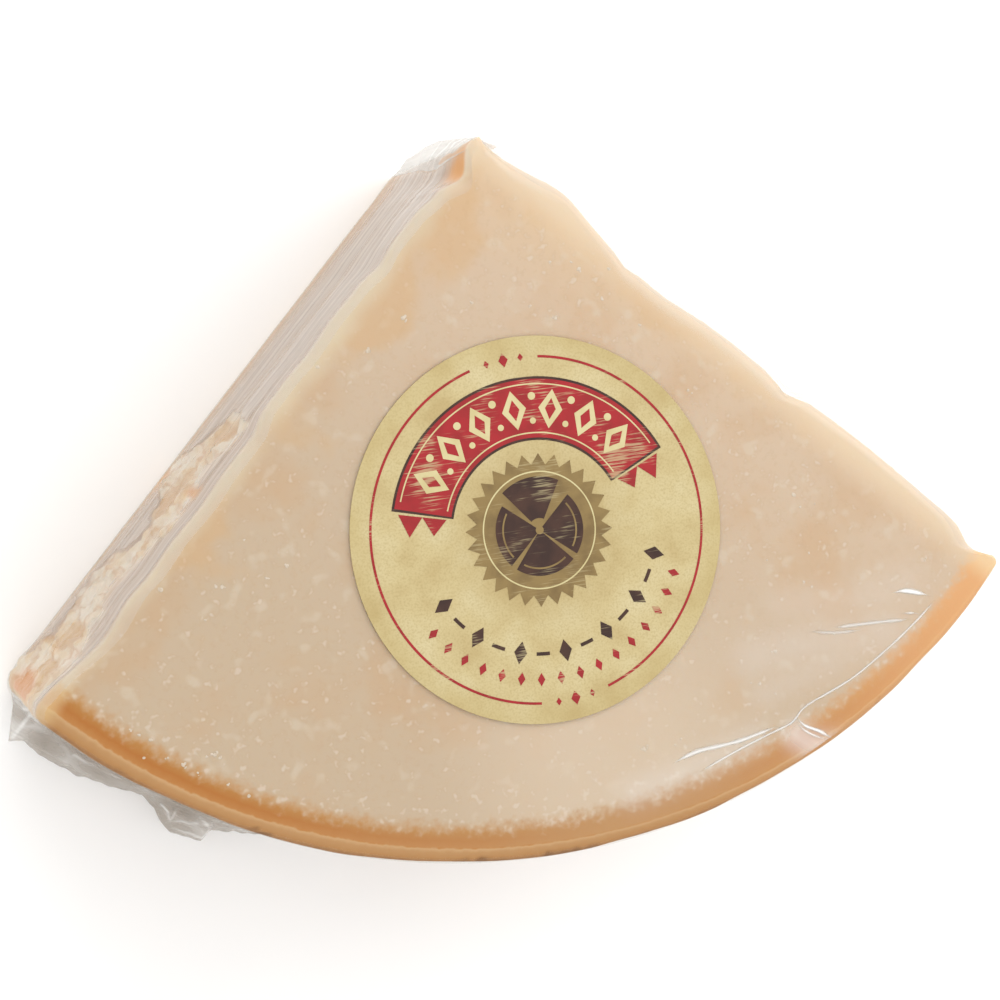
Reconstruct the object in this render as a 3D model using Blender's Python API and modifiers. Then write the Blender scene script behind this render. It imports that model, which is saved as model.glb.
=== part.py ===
"""Vacuum packed wedge of hard grating cheese: a quarter cut from one half of a wheel.

The wedge lies on the wheel's flat rind with its fresh cut face up. Its apex points to +Y and
its curved rind to -Y. Metres, +Z up. The origin is on the resting face, under the middle of
the pack's footprint.
"""

from collections import namedtuple
from math import atan2, cos, exp, pi, radians, sin, sqrt

import bmesh
import bpy
from mathutils import Vector, noise

# Driving sizes
WHEEL_RADIUS = 0.1983
THICKNESS = 0.096
WHEEL_AXIS = Vector((0.00167, 0.09331, 0.0))

# The two cuts that part the wedge from its wheel: the angle from the middle line between apex
# and rind, and how far the cut passes outside the wheel's axis
Cut = namedtuple("Cut", "side angle offset")
CUTS = {
    "left": Cut(-1, radians(45.3), 0.0054),
    "right": Cut(1, radians(45.9), 0.0046),
}

# Roundings of the packed wedge
APEX_ROUND = 0.0036
CORNER_ROUND = 0.0030
RIM_ROUND_CUT = 0.0027
RIM_ROUND_RIND = 0.0014
FOOT_ROUND = 0.0022

# The face's left edge, as it stands out from the straight cut: distance from the apex, height
LEFT_EDGE = (
    (0.0000, 0.0012),
    (0.0040, 0.0008),
    (0.0125, -0.0042),
    (0.0210, -0.0009),
    (0.0300, 0.0006),
    (0.0400, 0.0008),
    (0.0470, -0.0002),
    (0.0560, 0.0011),
    (0.0670, 0.0015),
    (0.0800, 0.0008),
    (0.0900, 0.0013),
    (0.0990, 0.0012),
    (0.1080, -0.0010),
    (0.1200, -0.0010),
    (0.1310, -0.0017),
    (0.1430, -0.0012),
    (0.1550, -0.0018),
    (0.1620, -0.0012),
    (0.1750, -0.0025),
    (0.1990, 0.0014),
)
# Dents (negative) and swells of its right edge: distance from the apex, height, half width
RIGHT_EDGE = (
    (0.029, 0.0024, 0.010),
    (0.064, -0.0024, 0.018),
    (0.150, 0.0022, 0.026),
    (0.194, -0.0034, 0.006),
)
EDGE_FADE = 0.028  # depth over which an edge's dents die out below the face
RIGHT_EDGE_LASTING = 0.35  # share of the right edge's dents that runs down to the foot
LEFT_FLARE = 0.0022  # how much wider the left cut is at the foot

# Broken paste on the cut sides: rounded grains with finer crumbs on them
GRAIN_ALONG = 0.0095
GRAIN_UP = 0.0170
GRAIN_MIDDLE = 0.75  # distance inside a grain, in grains, at which the surface is at its mean height
GRAIN_SHARE = 0.55  # share of the depth that the grains take, the crumbs having the rest
CRUMBS_A_GRAIN = 1.9
CRAG_DEPTH = 0.0030
CRAG_FOOT = 0.010  # height over which the crags start above the foot
# A cut is smooth from the apex to where its crags start, and under the face: distance from the
# apex, distance over which they grow, depth below the face, and a place in the noise of its own
Crags = namedtuple("Crags", "start grow below_face seed")
CRAGS = {
    "left": Crags(0.084, 0.024, 0.018, 3.7),
    "right": Crags(0.012, 0.020, 0.010, 9.2),
}

# Faint hollows that cloth and boards leave in the rind
RIND_UNEVEN = 0.0005
RIND_HOLLOWS_ROUND = 9  # hollows for each radian round the wheel
RIND_HOLLOWS_UP = 40  # hollows for each metre of height
RIND_SEED = 1.3

# Loose film that stands off the pack
FILM_SOLID = 0.0012
FILM_ROOT = 0.0040  # how far the loose film reaches into the wedge
FILM_SUNK = 0.0018  # how deep inside the wedge the ends of a piece of loose film run out
SKIRT_START = radians(-47.0)
SKIRT_START_GROW = radians(2.4)
SKIRT_END = radians(-11.0)
SKIRT_END_GROW = radians(13.0)
SKIRT_REACH = 0.0100
SKIRT_LOBES = ((radians(-44.3), 0.0035, radians(1.3)), (radians(-27.7), 0.0072, radians(3.6)))
SKIRT_LIFT = 0.0085
SKIRT_DROP = 0.0005
SKIRT_PLEAT = 0.0030
SKIRT_PLEATS_ROUND = 26  # pleats for each radian round the wheel
SKIRT_SEED = 4.1
SKIRT_DIVISIONS = (56, 4)
TUCK_REACH = 0.0062
TUCK_FULLNESS = 0.7  # below 1, the tuck keeps its reach for longer above and below its peak
TUCK_FOOT = 0.004  # heights at which the film tucked over the apex starts, stands out most, ends
TUCK_PEAK = 0.045
TUCK_HEAD = 0.089
TUCK_LEAN = 0.0016
TUCK_WAVES = 60  # waves for each metre of height
TUCK_SEED = 7.7
TUCK_DIVISIONS = (18, 3)

# Round paper label
LABEL_RADIUS = 0.055
LABEL_THICK = 0.0004
LABEL_GAP = 0.0003
LABEL_MIDDLE = Vector((0.0007, -0.1058, THICKNESS + LABEL_GAP + LABEL_THICK / 2))  # from the axis

# How finely the solids are divided
SIDE_STEP = 0.0040
RIND_STEP = 0.0078
ROUND_STEPS = 3
WALL_STEP = 0.0060

Station = namedtuple("Station", "x y nx ny rind cut along")


def remove_everything():
    for thing in list(bpy.data.objects):
        bpy.data.objects.remove(thing)


def new_collection(name):
    made = bpy.data.collections.new(name)
    bpy.context.scene.collection.children.link(made)
    return made


def material(name, colour, roughness):
    """A plain dielectric finish in one colour."""
    made = bpy.data.materials.new(name)
    made.use_nodes = True
    shader = made.node_tree.nodes["Principled BSDF"]
    shader.inputs["Base Color"].default_value = (*colour, 1.0)
    shader.inputs["Roughness"].default_value = roughness
    shader.inputs["Metallic"].default_value = 0.0
    return made


def smooth(x):
    """0 below 0, 1 above 1, and a smooth rise between."""
    x = min(1.0, max(0.0, x))
    return x * x * (3 - 2 * x)


def mix(a, b, share):
    return a + (b - a) * share


def spread(low, high, step):
    """Evenly spaced values from low to high, both included, about a step apart."""
    count = max(1, round(abs(high - low) / step))
    return [mix(low, high, k / count) for k in range(count + 1)]


def edge_line(along, knots):
    """Height of an edge given by knots, with a soft rise or fall from each to the next."""
    for (low, start), (high, end) in zip(knots, knots[1:]):
        if along <= high:
            return mix(start, end, smooth((along - low) / (high - low)))
    return knots[-1][1]


def swells(along, bumps):
    return sum(height * exp(-(((along - at) / width) ** 2)) for at, height, width in bumps)


def crag(along, z, seed):
    """Height of broken grana: rounded grains, taller than wide, with finer ones on them."""
    place = Vector((along / GRAIN_ALONG, z / GRAIN_UP, seed))
    nearest = noise.voronoi(place)[0][0]
    crumbs = noise.fractal(place * CRUMBS_A_GRAIN, 1.0, 2.1, 3)
    return CRAG_DEPTH * mix(crumbs, GRAIN_MIDDLE - nearest, GRAIN_SHARE)


def cut_relief(name, along, z):
    """How far a cut side stands out from its flat cutting plane."""
    depth = THICKNESS - z
    under_face = exp(-depth / EDGE_FADE)
    if name == "left":
        stand = edge_line(along, LEFT_EDGE) * under_face + LEFT_FLARE * depth / THICKNESS
    else:
        stand = swells(along, RIGHT_EDGE) * mix(RIGHT_EDGE_LASTING, 1.0, under_face)
    crags = CRAGS[name]
    rough = smooth((along - crags.start) / crags.grow) * smooth(depth / crags.below_face)
    return stand + rough * smooth(z / CRAG_FOOT) * crag(along, z, crags.seed)


def rind_relief(angle, z):
    """The rind is nearly round, with faint hollows left by the cloth and boards of its maturing."""
    place = Vector((angle * RIND_HOLLOWS_ROUND, z * RIND_HOLLOWS_UP, RIND_SEED))
    return RIND_UNEVEN * noise.fractal(place, 1.0, 2.0, 2)


def facing(cut):
    """The direction a cut side faces, seen from above."""
    return Vector((cut.side * cos(cut.angle), sin(cut.angle)))


def running(cut):
    """The direction from the apex along a cut side, seen from above."""
    return Vector((cut.side * sin(cut.angle), -cos(cut.angle)))


def crossing(inset):
    """Where the two cuts would cross if each were moved inwards by inset."""
    left, right = facing(CUTS["left"]), facing(CUTS["right"])
    to_left, to_right = CUTS["left"].offset - inset, CUTS["right"].offset - inset
    share = left.x * right.y - right.x * left.y
    x = (to_left * right.y - to_right * left.y) / share
    y = (left.x * to_right - right.x * to_left) / share
    return Vector((x, y))


def corner_centre(cut):
    """The middle of the rounded corner between a cut side and the rind."""
    off = cut.offset - CORNER_ROUND
    reach = sqrt((WHEEL_RADIUS - CORNER_ROUND) ** 2 - off**2)
    return facing(cut) * off + running(cut) * reach


def cut_stations(name):
    """Stations down one cut side, from the apex rounding to the corner rounding."""
    cut = CUTS[name]
    way, out, apex = running(cut), facing(cut), crossing(0.0)
    start = (crossing(APEX_ROUND) - apex).dot(way)
    end = (corner_centre(cut) - apex).dot(way)
    made = []
    for along in spread(start, end, SIDE_STEP):
        place = apex + way * along
        made.append(Station(place.x, place.y, out.x, out.y, 0.0, name, along))
    return made


def corner_stations(name):
    """Stations round the corner from a cut side to the rind."""
    cut = CUTS[name]
    centre = corner_centre(cut)
    along = (centre - crossing(0.0)).dot(running(cut))
    turn_from, turn_to = cut.angle, atan2(centre.y, abs(centre.x))
    made = []
    for k in range(1, ROUND_STEPS):
        share = k / ROUND_STEPS
        turn = mix(turn_from, turn_to, share)
        out = Vector((cut.side * cos(turn), sin(turn)))
        place = centre + out * CORNER_ROUND
        made.append(Station(place.x, place.y, out.x, out.y, share, name, along))
    return made


def rind_stations():
    """Stations round the rind, from the left corner to the right one."""
    left, right = corner_centre(CUTS["left"]), corner_centre(CUTS["right"])
    angle_from, angle_to = atan2(left.x, -left.y), atan2(right.x, -right.y)
    made = []
    for angle in spread(angle_from, angle_to, RIND_STEP / WHEEL_RADIUS):
        out = Vector((sin(angle), -cos(angle)))
        place = out * WHEEL_RADIUS
        made.append(Station(place.x, place.y, out.x, out.y, 1.0, "rind", angle))
    return made


def apex_stations():
    """Stations over the rounded apex, from the right cut back to the left one."""
    centre = crossing(APEX_ROUND)
    made = []
    for k in range(1, ROUND_STEPS):
        turn = mix(CUTS["right"].angle, pi - CUTS["left"].angle, k / ROUND_STEPS)
        out = Vector((cos(turn), sin(turn)))
        name = "right" if out.x > 0 else "left"
        place = centre + out * APEX_ROUND
        along = (centre - crossing(0.0)).dot(running(CUTS[name]))
        made.append(Station(place.x, place.y, out.x, out.y, 0.0, name, along))
    return made


def outline():
    """Stations round the wedge, seen from above: left cut, rind, right cut, apex."""
    left = cut_stations("left") + corner_stations("left")
    right = cut_stations("right") + corner_stations("right")
    return left + rind_stations() + right[::-1] + apex_stations()


def rows():
    """Rows of the wedge's skin from foot to face: (zone, share of the zone)."""
    foot = [("foot", k / ROUND_STEPS) for k in range(ROUND_STEPS)]
    wall = [("wall", share) for share in spread(0.0, 1.0, WALL_STEP / THICKNESS)]
    rim = [("rim", k / ROUND_STEPS) for k in range(1, ROUND_STEPS + 1)]
    return foot + wall + rim


def inwards(station, inset):
    """A step towards the label that takes the outline in by inset, so that no corner folds over."""
    way = (LABEL_MIDDLE.xy - Vector((station.x, station.y))).normalized()
    return way * inset / -way.dot(Vector((station.nx, station.ny)))


def on_skin(station, zone, share):
    """The point of the wedge's skin at a station and row."""
    rim = mix(RIM_ROUND_CUT, RIM_ROUND_RIND, station.rind)
    turn = share * pi / 2
    if zone == "foot":
        z, inset = FOOT_ROUND * (1 - cos(turn)), FOOT_ROUND * (1 - sin(turn))
    elif zone == "wall":
        z, inset = mix(FOOT_ROUND, THICKNESS - rim, share), 0.0
    else:
        z, inset = THICKNESS - rim * (1 - sin(turn)), rim * (1 - cos(turn))
    if station.cut == "rind":
        stand = rind_relief(station.along, z)
    else:
        stand = cut_relief(station.cut, station.along, z) * (1 - station.rind)
    rounded = inwards(station, inset)
    x = station.x + station.nx * stand + rounded.x
    y = station.y + station.ny * stand + rounded.y
    return Vector((x, y, z)) + WHEEL_AXIS


def wedge_body(collection):
    """The wedge itself: its outline laid down as the foot, then pulled up row by row to the face."""
    stations, levels = outline(), rows()
    bm = bmesh.new()
    bmesh.ops.create_circle(bm, cap_ends=True, segments=len(stations), radius=WHEEL_RADIUS)
    bm.verts.ensure_lookup_table()
    rim = list(bm.verts)
    for vertex, station in zip(rim, stations):
        vertex.co = on_skin(station, *levels[0])
    edges = list(bm.edges)
    for level in levels[1:]:
        made = bmesh.ops.extrude_edge_only(bm, edges=edges)["geom"]
        new = [v for v in made if isinstance(v, bmesh.types.BMVert)]
        edges = [e for e in made if isinstance(e, bmesh.types.BMEdge)]
        edges = [e for e in edges if e.verts[0] in new and e.verts[1] in new]
        partner = {}
        for face in (f for f in made if isinstance(f, bmesh.types.BMFace)):
            for edge in face.edges:
                low, high = edge.verts
                if (low in new) != (high in new):
                    above, below = (low, high) if low in new else (high, low)
                    partner[below] = above
        rim = [partner[v] for v in rim]
        for vertex, station in zip(rim, stations):
            vertex.co = on_skin(station, *level)
    bmesh.ops.contextual_create(bm, geom=edges)
    bmesh.ops.recalc_face_normals(bm, faces=bm.faces)
    return to_object(bm, "wrapped_wedge", collection)


def to_object(bm, name, collection):
    mesh = bpy.data.meshes.new(name)
    bm.to_mesh(mesh)
    bm.free()
    made = bpy.data.objects.new(name, mesh)
    collection.objects.link(made)
    return made


def loose_sheet(name, collection, divisions, place):
    """A plate of film: a grid laid out by place(u, v), with u and v from 0 to 1, then thickened."""
    along, across = divisions
    bm = bmesh.new()
    bmesh.ops.create_grid(bm, x_segments=along, y_segments=across, size=0.5)
    for vertex in bm.verts:
        vertex.co = place(vertex.co.x + 0.5, vertex.co.y + 0.5)
    made = to_object(bm, name, collection)
    thick = made.modifiers.new("thickness", "SOLIDIFY")
    thick.thickness = FILM_SOLID
    thick.offset = 0.0


def skirt_reach(angle):
    """How far the film skirt stands out from the rind at an angle round the wheel."""
    reach = SKIRT_REACH
    for at, height, width in SKIRT_LOBES:
        reach += height * max(0.0, 1 - abs(angle - at) / width)
    starting = smooth((angle - SKIRT_START) / SKIRT_START_GROW)
    ending = smooth((SKIRT_END - angle) / SKIRT_END_GROW)
    return (reach + FILM_SUNK) * starting * ending - FILM_SUNK


def skirt_point(u, v):
    """The film skirt lies low round the left part of the rind, in soft pleats."""
    angle = mix(SKIRT_START, SKIRT_END, u)
    reach = skirt_reach(angle)
    radius = mix(WHEEL_RADIUS - FILM_ROOT, WHEEL_RADIUS + reach, v)
    pleat = SKIRT_PLEAT * v * noise.noise(Vector((angle * SKIRT_PLEATS_ROUND, v, SKIRT_SEED)))
    z = SKIRT_LIFT - SKIRT_DROP * v + pleat
    return Vector((sin(angle) * radius, -cos(angle) * radius, z)) + WHEEL_AXIS


def tuck_point(u, v):
    """The film tucked over the apex stands up like a low fin along the apex edge."""
    z = mix(TUCK_FOOT, TUCK_HEAD, u)
    if z < TUCK_PEAK:
        rise = sin(pi / 2 * (z - TUCK_FOOT) / (TUCK_PEAK - TUCK_FOOT))
    else:
        rise = cos(pi / 2 * (z - TUCK_PEAK) / (TUCK_HEAD - TUCK_PEAK))
    middle = crossing(APEX_ROUND)
    nose = middle.y + APEX_ROUND
    tip = nose - FILM_SUNK + (TUCK_REACH + FILM_SUNK) * rise**TUCK_FULLNESS
    lean = TUCK_LEAN * v * noise.noise(Vector((z * TUCK_WAVES, v, TUCK_SEED)))
    return Vector((middle.x + lean, mix(nose - FILM_ROOT, tip, v), z)) + WHEEL_AXIS


def apply_modifiers(thing):
    """Gives the object the mesh that its modifiers make."""
    view = bpy.context.evaluated_depsgraph_get()
    made = bpy.data.meshes.new_from_object(thing.evaluated_get(view))
    made.name = thing.name
    thing.modifiers.clear()
    thing.data = made


def wrapped_wedge(collection, loose):
    """Cheese and bag in one solid: the wedge with its loose film joined on."""
    body = wedge_body(collection)
    loose_sheet("skirt", loose, SKIRT_DIVISIONS, skirt_point)
    loose_sheet("tuck", loose, TUCK_DIVISIONS, tuck_point)
    join = body.modifiers.new("loose film", "BOOLEAN")
    join.operation = "UNION"
    join.operand_type = "COLLECTION"
    join.collection = loose
    join.solver = "EXACT"
    apply_modifiers(body)
    for sheet in list(loose.objects):
        bpy.data.objects.remove(sheet)
    bpy.data.collections.remove(loose)
    body.data.materials.clear()
    body.data.materials.append(material("cheese in clear film", (0.68, 0.50, 0.33), 0.30))
    body.data.shade_smooth()
    body.data.set_sharp_from_angle(angle=radians(40))


def label(collection):
    """The round paper label on the cut face."""
    bpy.ops.mesh.primitive_cylinder_add(
        vertices=96,
        radius=LABEL_RADIUS,
        depth=LABEL_THICK,
        location=WHEEL_AXIS + LABEL_MIDDLE,
    )
    made = bpy.context.active_object
    made.name = "label"
    for holder in list(made.users_collection):
        holder.objects.unlink(made)
    collection.objects.link(made)
    made.data.materials.append(material("label paper", (0.70, 0.57, 0.31), 0.55))


def main():
    remove_everything()
    collection = new_collection("parmesan chunk")
    wrapped_wedge(collection, new_collection("loose film"))
    label(collection)


main()
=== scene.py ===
"""Vacuum packed wedge of hard grating cheese: its paste, rind, clear film, label and studio.

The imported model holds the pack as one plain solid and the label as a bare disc. Here the solid
becomes the cheese and the film drawn round it, and the label gets its paper and a printed
pattern. Metres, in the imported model's own frame: the apex points to +Y, the round rind to -Y.
"""

from collections import namedtuple
from math import atan2, ceil, cos, exp, pi, radians, sin, sqrt

import bmesh
import bpy
import numpy as np
from mathutils import Matrix, Vector, noise


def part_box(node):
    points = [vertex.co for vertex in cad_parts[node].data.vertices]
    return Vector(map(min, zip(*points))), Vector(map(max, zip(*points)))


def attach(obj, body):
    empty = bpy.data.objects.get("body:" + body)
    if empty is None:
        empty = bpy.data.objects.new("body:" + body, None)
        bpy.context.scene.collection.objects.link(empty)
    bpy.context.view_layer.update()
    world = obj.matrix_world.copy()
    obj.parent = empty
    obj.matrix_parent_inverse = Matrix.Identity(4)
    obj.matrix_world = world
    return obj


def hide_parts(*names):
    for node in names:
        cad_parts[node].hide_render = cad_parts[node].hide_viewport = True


MM = 0.001

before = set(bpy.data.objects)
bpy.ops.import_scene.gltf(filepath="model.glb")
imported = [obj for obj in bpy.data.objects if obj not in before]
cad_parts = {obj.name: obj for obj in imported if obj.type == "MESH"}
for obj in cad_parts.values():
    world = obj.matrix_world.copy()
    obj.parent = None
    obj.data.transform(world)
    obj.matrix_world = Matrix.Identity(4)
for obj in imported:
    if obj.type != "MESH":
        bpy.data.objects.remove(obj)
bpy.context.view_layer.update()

# The wedge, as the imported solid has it
WHEEL_RADIUS = 0.1983
THICKNESS = 0.096
WHEEL_AXIS = Vector((0.00167, 0.09331, 0.0))
Cut = namedtuple("Cut", "side angle offset")
CUTS = {
    "left": Cut(-1, radians(45.3), 0.0054),
    "right": Cut(1, radians(45.9), 0.0046),
}
APEX_ROUND = 0.0036
CORNER_ROUND = 0.0030
RIM_ROUND_CUT = 0.0027
RIM_ROUND_RIND = 0.0014
FOOT_ROUND = 0.0022

# The face's left edge, as it stands out from the straight cut: distance from the apex, height
LEFT_EDGE = (
    (0.0000, 0.0012), (0.0040, 0.0008), (0.0125, -0.0042), (0.0210, -0.0009), (0.0300, 0.0006),
    (0.0400, 0.0008), (0.0470, -0.0002), (0.0560, 0.0011), (0.0670, 0.0015), (0.0800, 0.0008),
    (0.0900, 0.0013), (0.0990, 0.0012), (0.1080, -0.0010), (0.1200, -0.0010), (0.1310, -0.0017),
    (0.1430, -0.0012), (0.1550, -0.0018), (0.1620, -0.0012), (0.1750, -0.0025),
    (0.1990, 0.0014),
)
# Dents (negative) and swells of its right edge: distance from the apex, height, half width
RIGHT_EDGE = (
    (0.029, 0.0024, 0.010), (0.064, -0.0024, 0.018), (0.150, 0.0022, 0.026),
    (0.194, -0.0034, 0.006),
)
EDGE_FADE = 0.028
RIGHT_EDGE_LASTING = 0.35
LEFT_FLARE = 0.0022

# Broken paste on the cut sides
GRAIN_ALONG = 0.0095
GRAIN_UP = 0.0170
GRAIN_MIDDLE = 0.75
GRAIN_SHARE = 0.55
CRUMBS_A_GRAIN = 1.9
CRAG_DEPTH = 0.0030
CRAG_FOOT = 0.010
Crags = namedtuple("Crags", "start grow below_face seed")
CRAGS = {
    "left": Crags(0.084, 0.024, 0.018, 3.7),
    "right": Crags(0.012, 0.020, 0.010, 9.2),
}
RIND_UNEVEN = 0.0005
RIND_HOLLOWS_ROUND = 9
RIND_HOLLOWS_UP = 40
RIND_SEED = 1.3

# How finely the cheese and its film are divided
LEFT_STEP = 0.0010
RIGHT_STEP = 0.0018
RIND_STEP = 0.0022
WALL_STEP = 0.0012
ROUND_STEPS = 5
FACE_RINGS = 56
FACE_END = 0.93  # the rings end at this share of the way from the rim to the label's middle
RINGS_CROWDED = 1.6  # above 1, the rings lie closer together near the rim

# Flakes on the broken paste, too fine for the solid
FLAKE_DEPTH = 0.0007
FLAKES_A_GRAIN = 2.6

# Rind, as it shows round the face: angle round the wheel from its middle, and depth from the outside
RIND_LINE = (
    (-45, 0.0043), (-36, 0.0040), (-10, 0.0039), (3, 0.0035), (13, 0.0029), (27, 0.0021), (44, 0.0018),
)
RIND_INNER = ((-42, 0.0099), (-28, 0.0092), (3, 0.0089), (20, 0.0087), (27, 0.0075), (44, 0.0072))
RIND_BAKED = (
    (-47, 1.0), (-32, 0.92), (-18, 0.62), (-8, 0.50), (3, 0.12), (13, 0.25), (20, 0.55), (44, 0.85),
)
RIND_OUTSIDE = 0.0004  # the outside of the rind has the colour that it has at this depth
FOOT_SHARE = 0.4  # how much of a cut side's own colour covers the rind at its foot

# Where the left side broke instead of slicing smoothly: distance from the apex, lowest and highest place
BROKEN = (
    (0.096, 0.060, 0.060), (0.104, 0.040, 0.084), (0.112, 0.022, 0.080), (0.119, 0.002, 0.072),
    (0.127, 0.008, 0.076), (0.133, 0.034, 0.080), (0.140, 0.042, 0.084), (0.147, 0.038, 0.076),
    (0.153, 0.022, 0.068), (0.160, 0.012, 0.066), (0.168, 0.016, 0.070), (0.176, 0.024, 0.078),
    (0.182, 0.026, 0.090), (0.187, 0.016, 0.092), (0.194, 0.000, 0.090), (0.200, 0.000, 0.086),
)
BROKEN_SOFT = 0.005
BROKEN_RAGGED = 0.009

# Tan stains of the sides, the first of them painted shade in the notch below the apex: distance from the
# apex, height, reach along and up, strength
StainAndShade = namedtuple("StainAndShade", "along height long high strength")
STAINS_AND_SHADE = (
    # painted shade, warmed by light through the paste, in the notch below the apex
    StainAndShade(0.0105, 0.088, 0.0060, 0.010, 1.2),
    StainAndShade(0.006, 0.012, 0.010, 0.012, 0.3),
    StainAndShade(0.022, 0.014, 0.010, 0.010, 0.3),
    StainAndShade(0.042, 0.009, 0.012, 0.006, 0.2),
    StainAndShade(0.066, 0.007, 0.013, 0.006, 0.2),
    StainAndShade(0.090, 0.006, 0.012, 0.006, 0.2),
    StainAndShade(0.124, 0.008, 0.006, 0.009, 0.7),
    StainAndShade(0.1275, 0.071, 0.0026, 0.009, 1.0),
    StainAndShade(0.186, 0.050, 0.006, 0.012, 0.5),
    StainAndShade(0.199, 0.042, 0.0060, 0.028, 1.4),
)

# Dark marks on the upper edge of the rind: angle round the wheel, half length in degrees, strength
RIND_DIRT = (
    (-39.0, 1.2, 0.5), (-26.9, 0.9, 0.9), (-8.4, 2.2, 0.8), (-2.0, 1.6, 0.7), (0.8, 1.4, 0.6),
    (30.0, 0.8, 0.5),
)

# The paste is palest round here, above the middle of the rind
PALE_MIDDLE = (0.015, -0.078, THICKNESS)

# White crystals that stand out on the face: x and y in mm, and size in mm
CRYSTALS = (
    (-54.8, 41.0, 1.1), (-40.0, 43.6, 1.4), (-28.9, 51.5, 1.5), (-8.5, 53.4, 1.0), (15.2, 46.4, 1.3),
    (24.3, 59.4, 1.2), (22.1, 61.6, 0.8), (15.9, 62.3, 0.9), (33.3, 58.4, 1.0), (30.0, 50.1, 1.0),
    (40.5, 41.4, 0.9), (8.3, 50.6, 0.9), (52.6, 21.1, 0.9), (53.7, 20.1, 0.6), (81.5, -13.5, 1.4),
    (83.0, -17.3, 0.8), (87.8, -17.1, 0.6), (70.5, -31.2, 0.7), (84.0, -31.1, 0.8), (81.3, -39.3, 0.8),
    (83.6, -41.1, 0.9), (121.1, -38.7, 0.9), (69.7, -58.0, 1.2), (68.4, -58.1, 0.8), (88.8, -56.0, 0.8),
    (68.0, -70.5, 0.8), (63.4, -66.8, 1.0), (60.7, -66.0, 0.7), (25.3, -79.5, 1.3), (34.8, -79.9, 0.8),
    (36.9, -78.5, 0.8), (-70.6, -12.0, 1.1), (-76.8, -14.4, 0.9), (-81.4, -3.2, 0.7),
    (-105.6, -13.3, 1.4), (-89.1, -15.0, 1.1), (-90.7, -14.7, 1.0), (-94.9, -23.2, 0.9),
    (-118.7, -49.6, 0.9), (-116.7, -51.1, 0.9), (-116.3, -57.4, 0.9), (-106.2, -61.1, 1.2),
    (-97.3, -59.9, 1.3), (-96.0, -60.9, 1.0), (-99.5, -60.1, 0.8), (-102.5, -63.9, 0.8),
    (-94.9, -68.6, 0.8), (-114.0, -52.9, 1.0), (-109.9, -58.5, 0.8), (-89.6, -72.6, 1.1),
)

# Film, and its gap from the cheese
FILM_GAP = 0.00012
FILM_SPANS = (16, 8, 4, 2, 1)  # columns on either side between which the film is drawn taut
FILM_PASSES = 8
FACE_UNEVEN = 0.00008
WRINKLE_APART = 0.0070
WRINKLE_LONG = 0.1500
WRINKLE_DEPTH = 0.00022
STREAK_APART = 0.0046
STREAK_LONG = 0.1300
FILM_MARKS = ("milk", "bright", "combed", "along", "lane")
# How milky it is, from 0 clear to 1 white, and how strongly its streaks show
SIDE_MILK = 0.56
BROKEN_MILK = 0.22
RIND_MILK = 0.04
RIGHT_RIM_MILK = 0.30
RIGHT_WALL_MILK = 0.08
RIGHT_FACE_MILK = 0.12
EDGE_RINGS = 12  # outer rings of the face on which the film may stand off
SKIRT_MILK = 0.25
TUCK_MILK = 0.42
SIDE_COMBED = 2.2
BROKEN_COMBED = 1.0
SKIRT_COMBED = 1.6
TUCK_COMBED = 1.0
FAN_OUT = 0.060  # wrinkles and streaks spread out over this distance from the apex
FILM_GLOSS = 0.4  # share of a smooth film's mirror that the rippled film keeps

# How far the film stands off the paste along the right edge: distance from the apex, and gap
RIGHT_GAP = (
    (0.000, 0.0010), (0.008, 0.0020), (0.016, 0.0010), (0.025, 0.0007), (0.042, 0.0005),
    (0.050, 0.0008), (0.056, 0.0020), (0.062, 0.0010), (0.072, 0.0014), (0.090, 0.0012),
    (0.108, 0.0014), (0.119, 0.0036), (0.126, 0.0016), (0.140, 0.0019), (0.158, 0.0020),
    (0.170, 0.0012), (0.183, 0.0008), (0.190, 0.0005), (0.198, 0.0008),
)
GAP_FADE = 0.020

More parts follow.
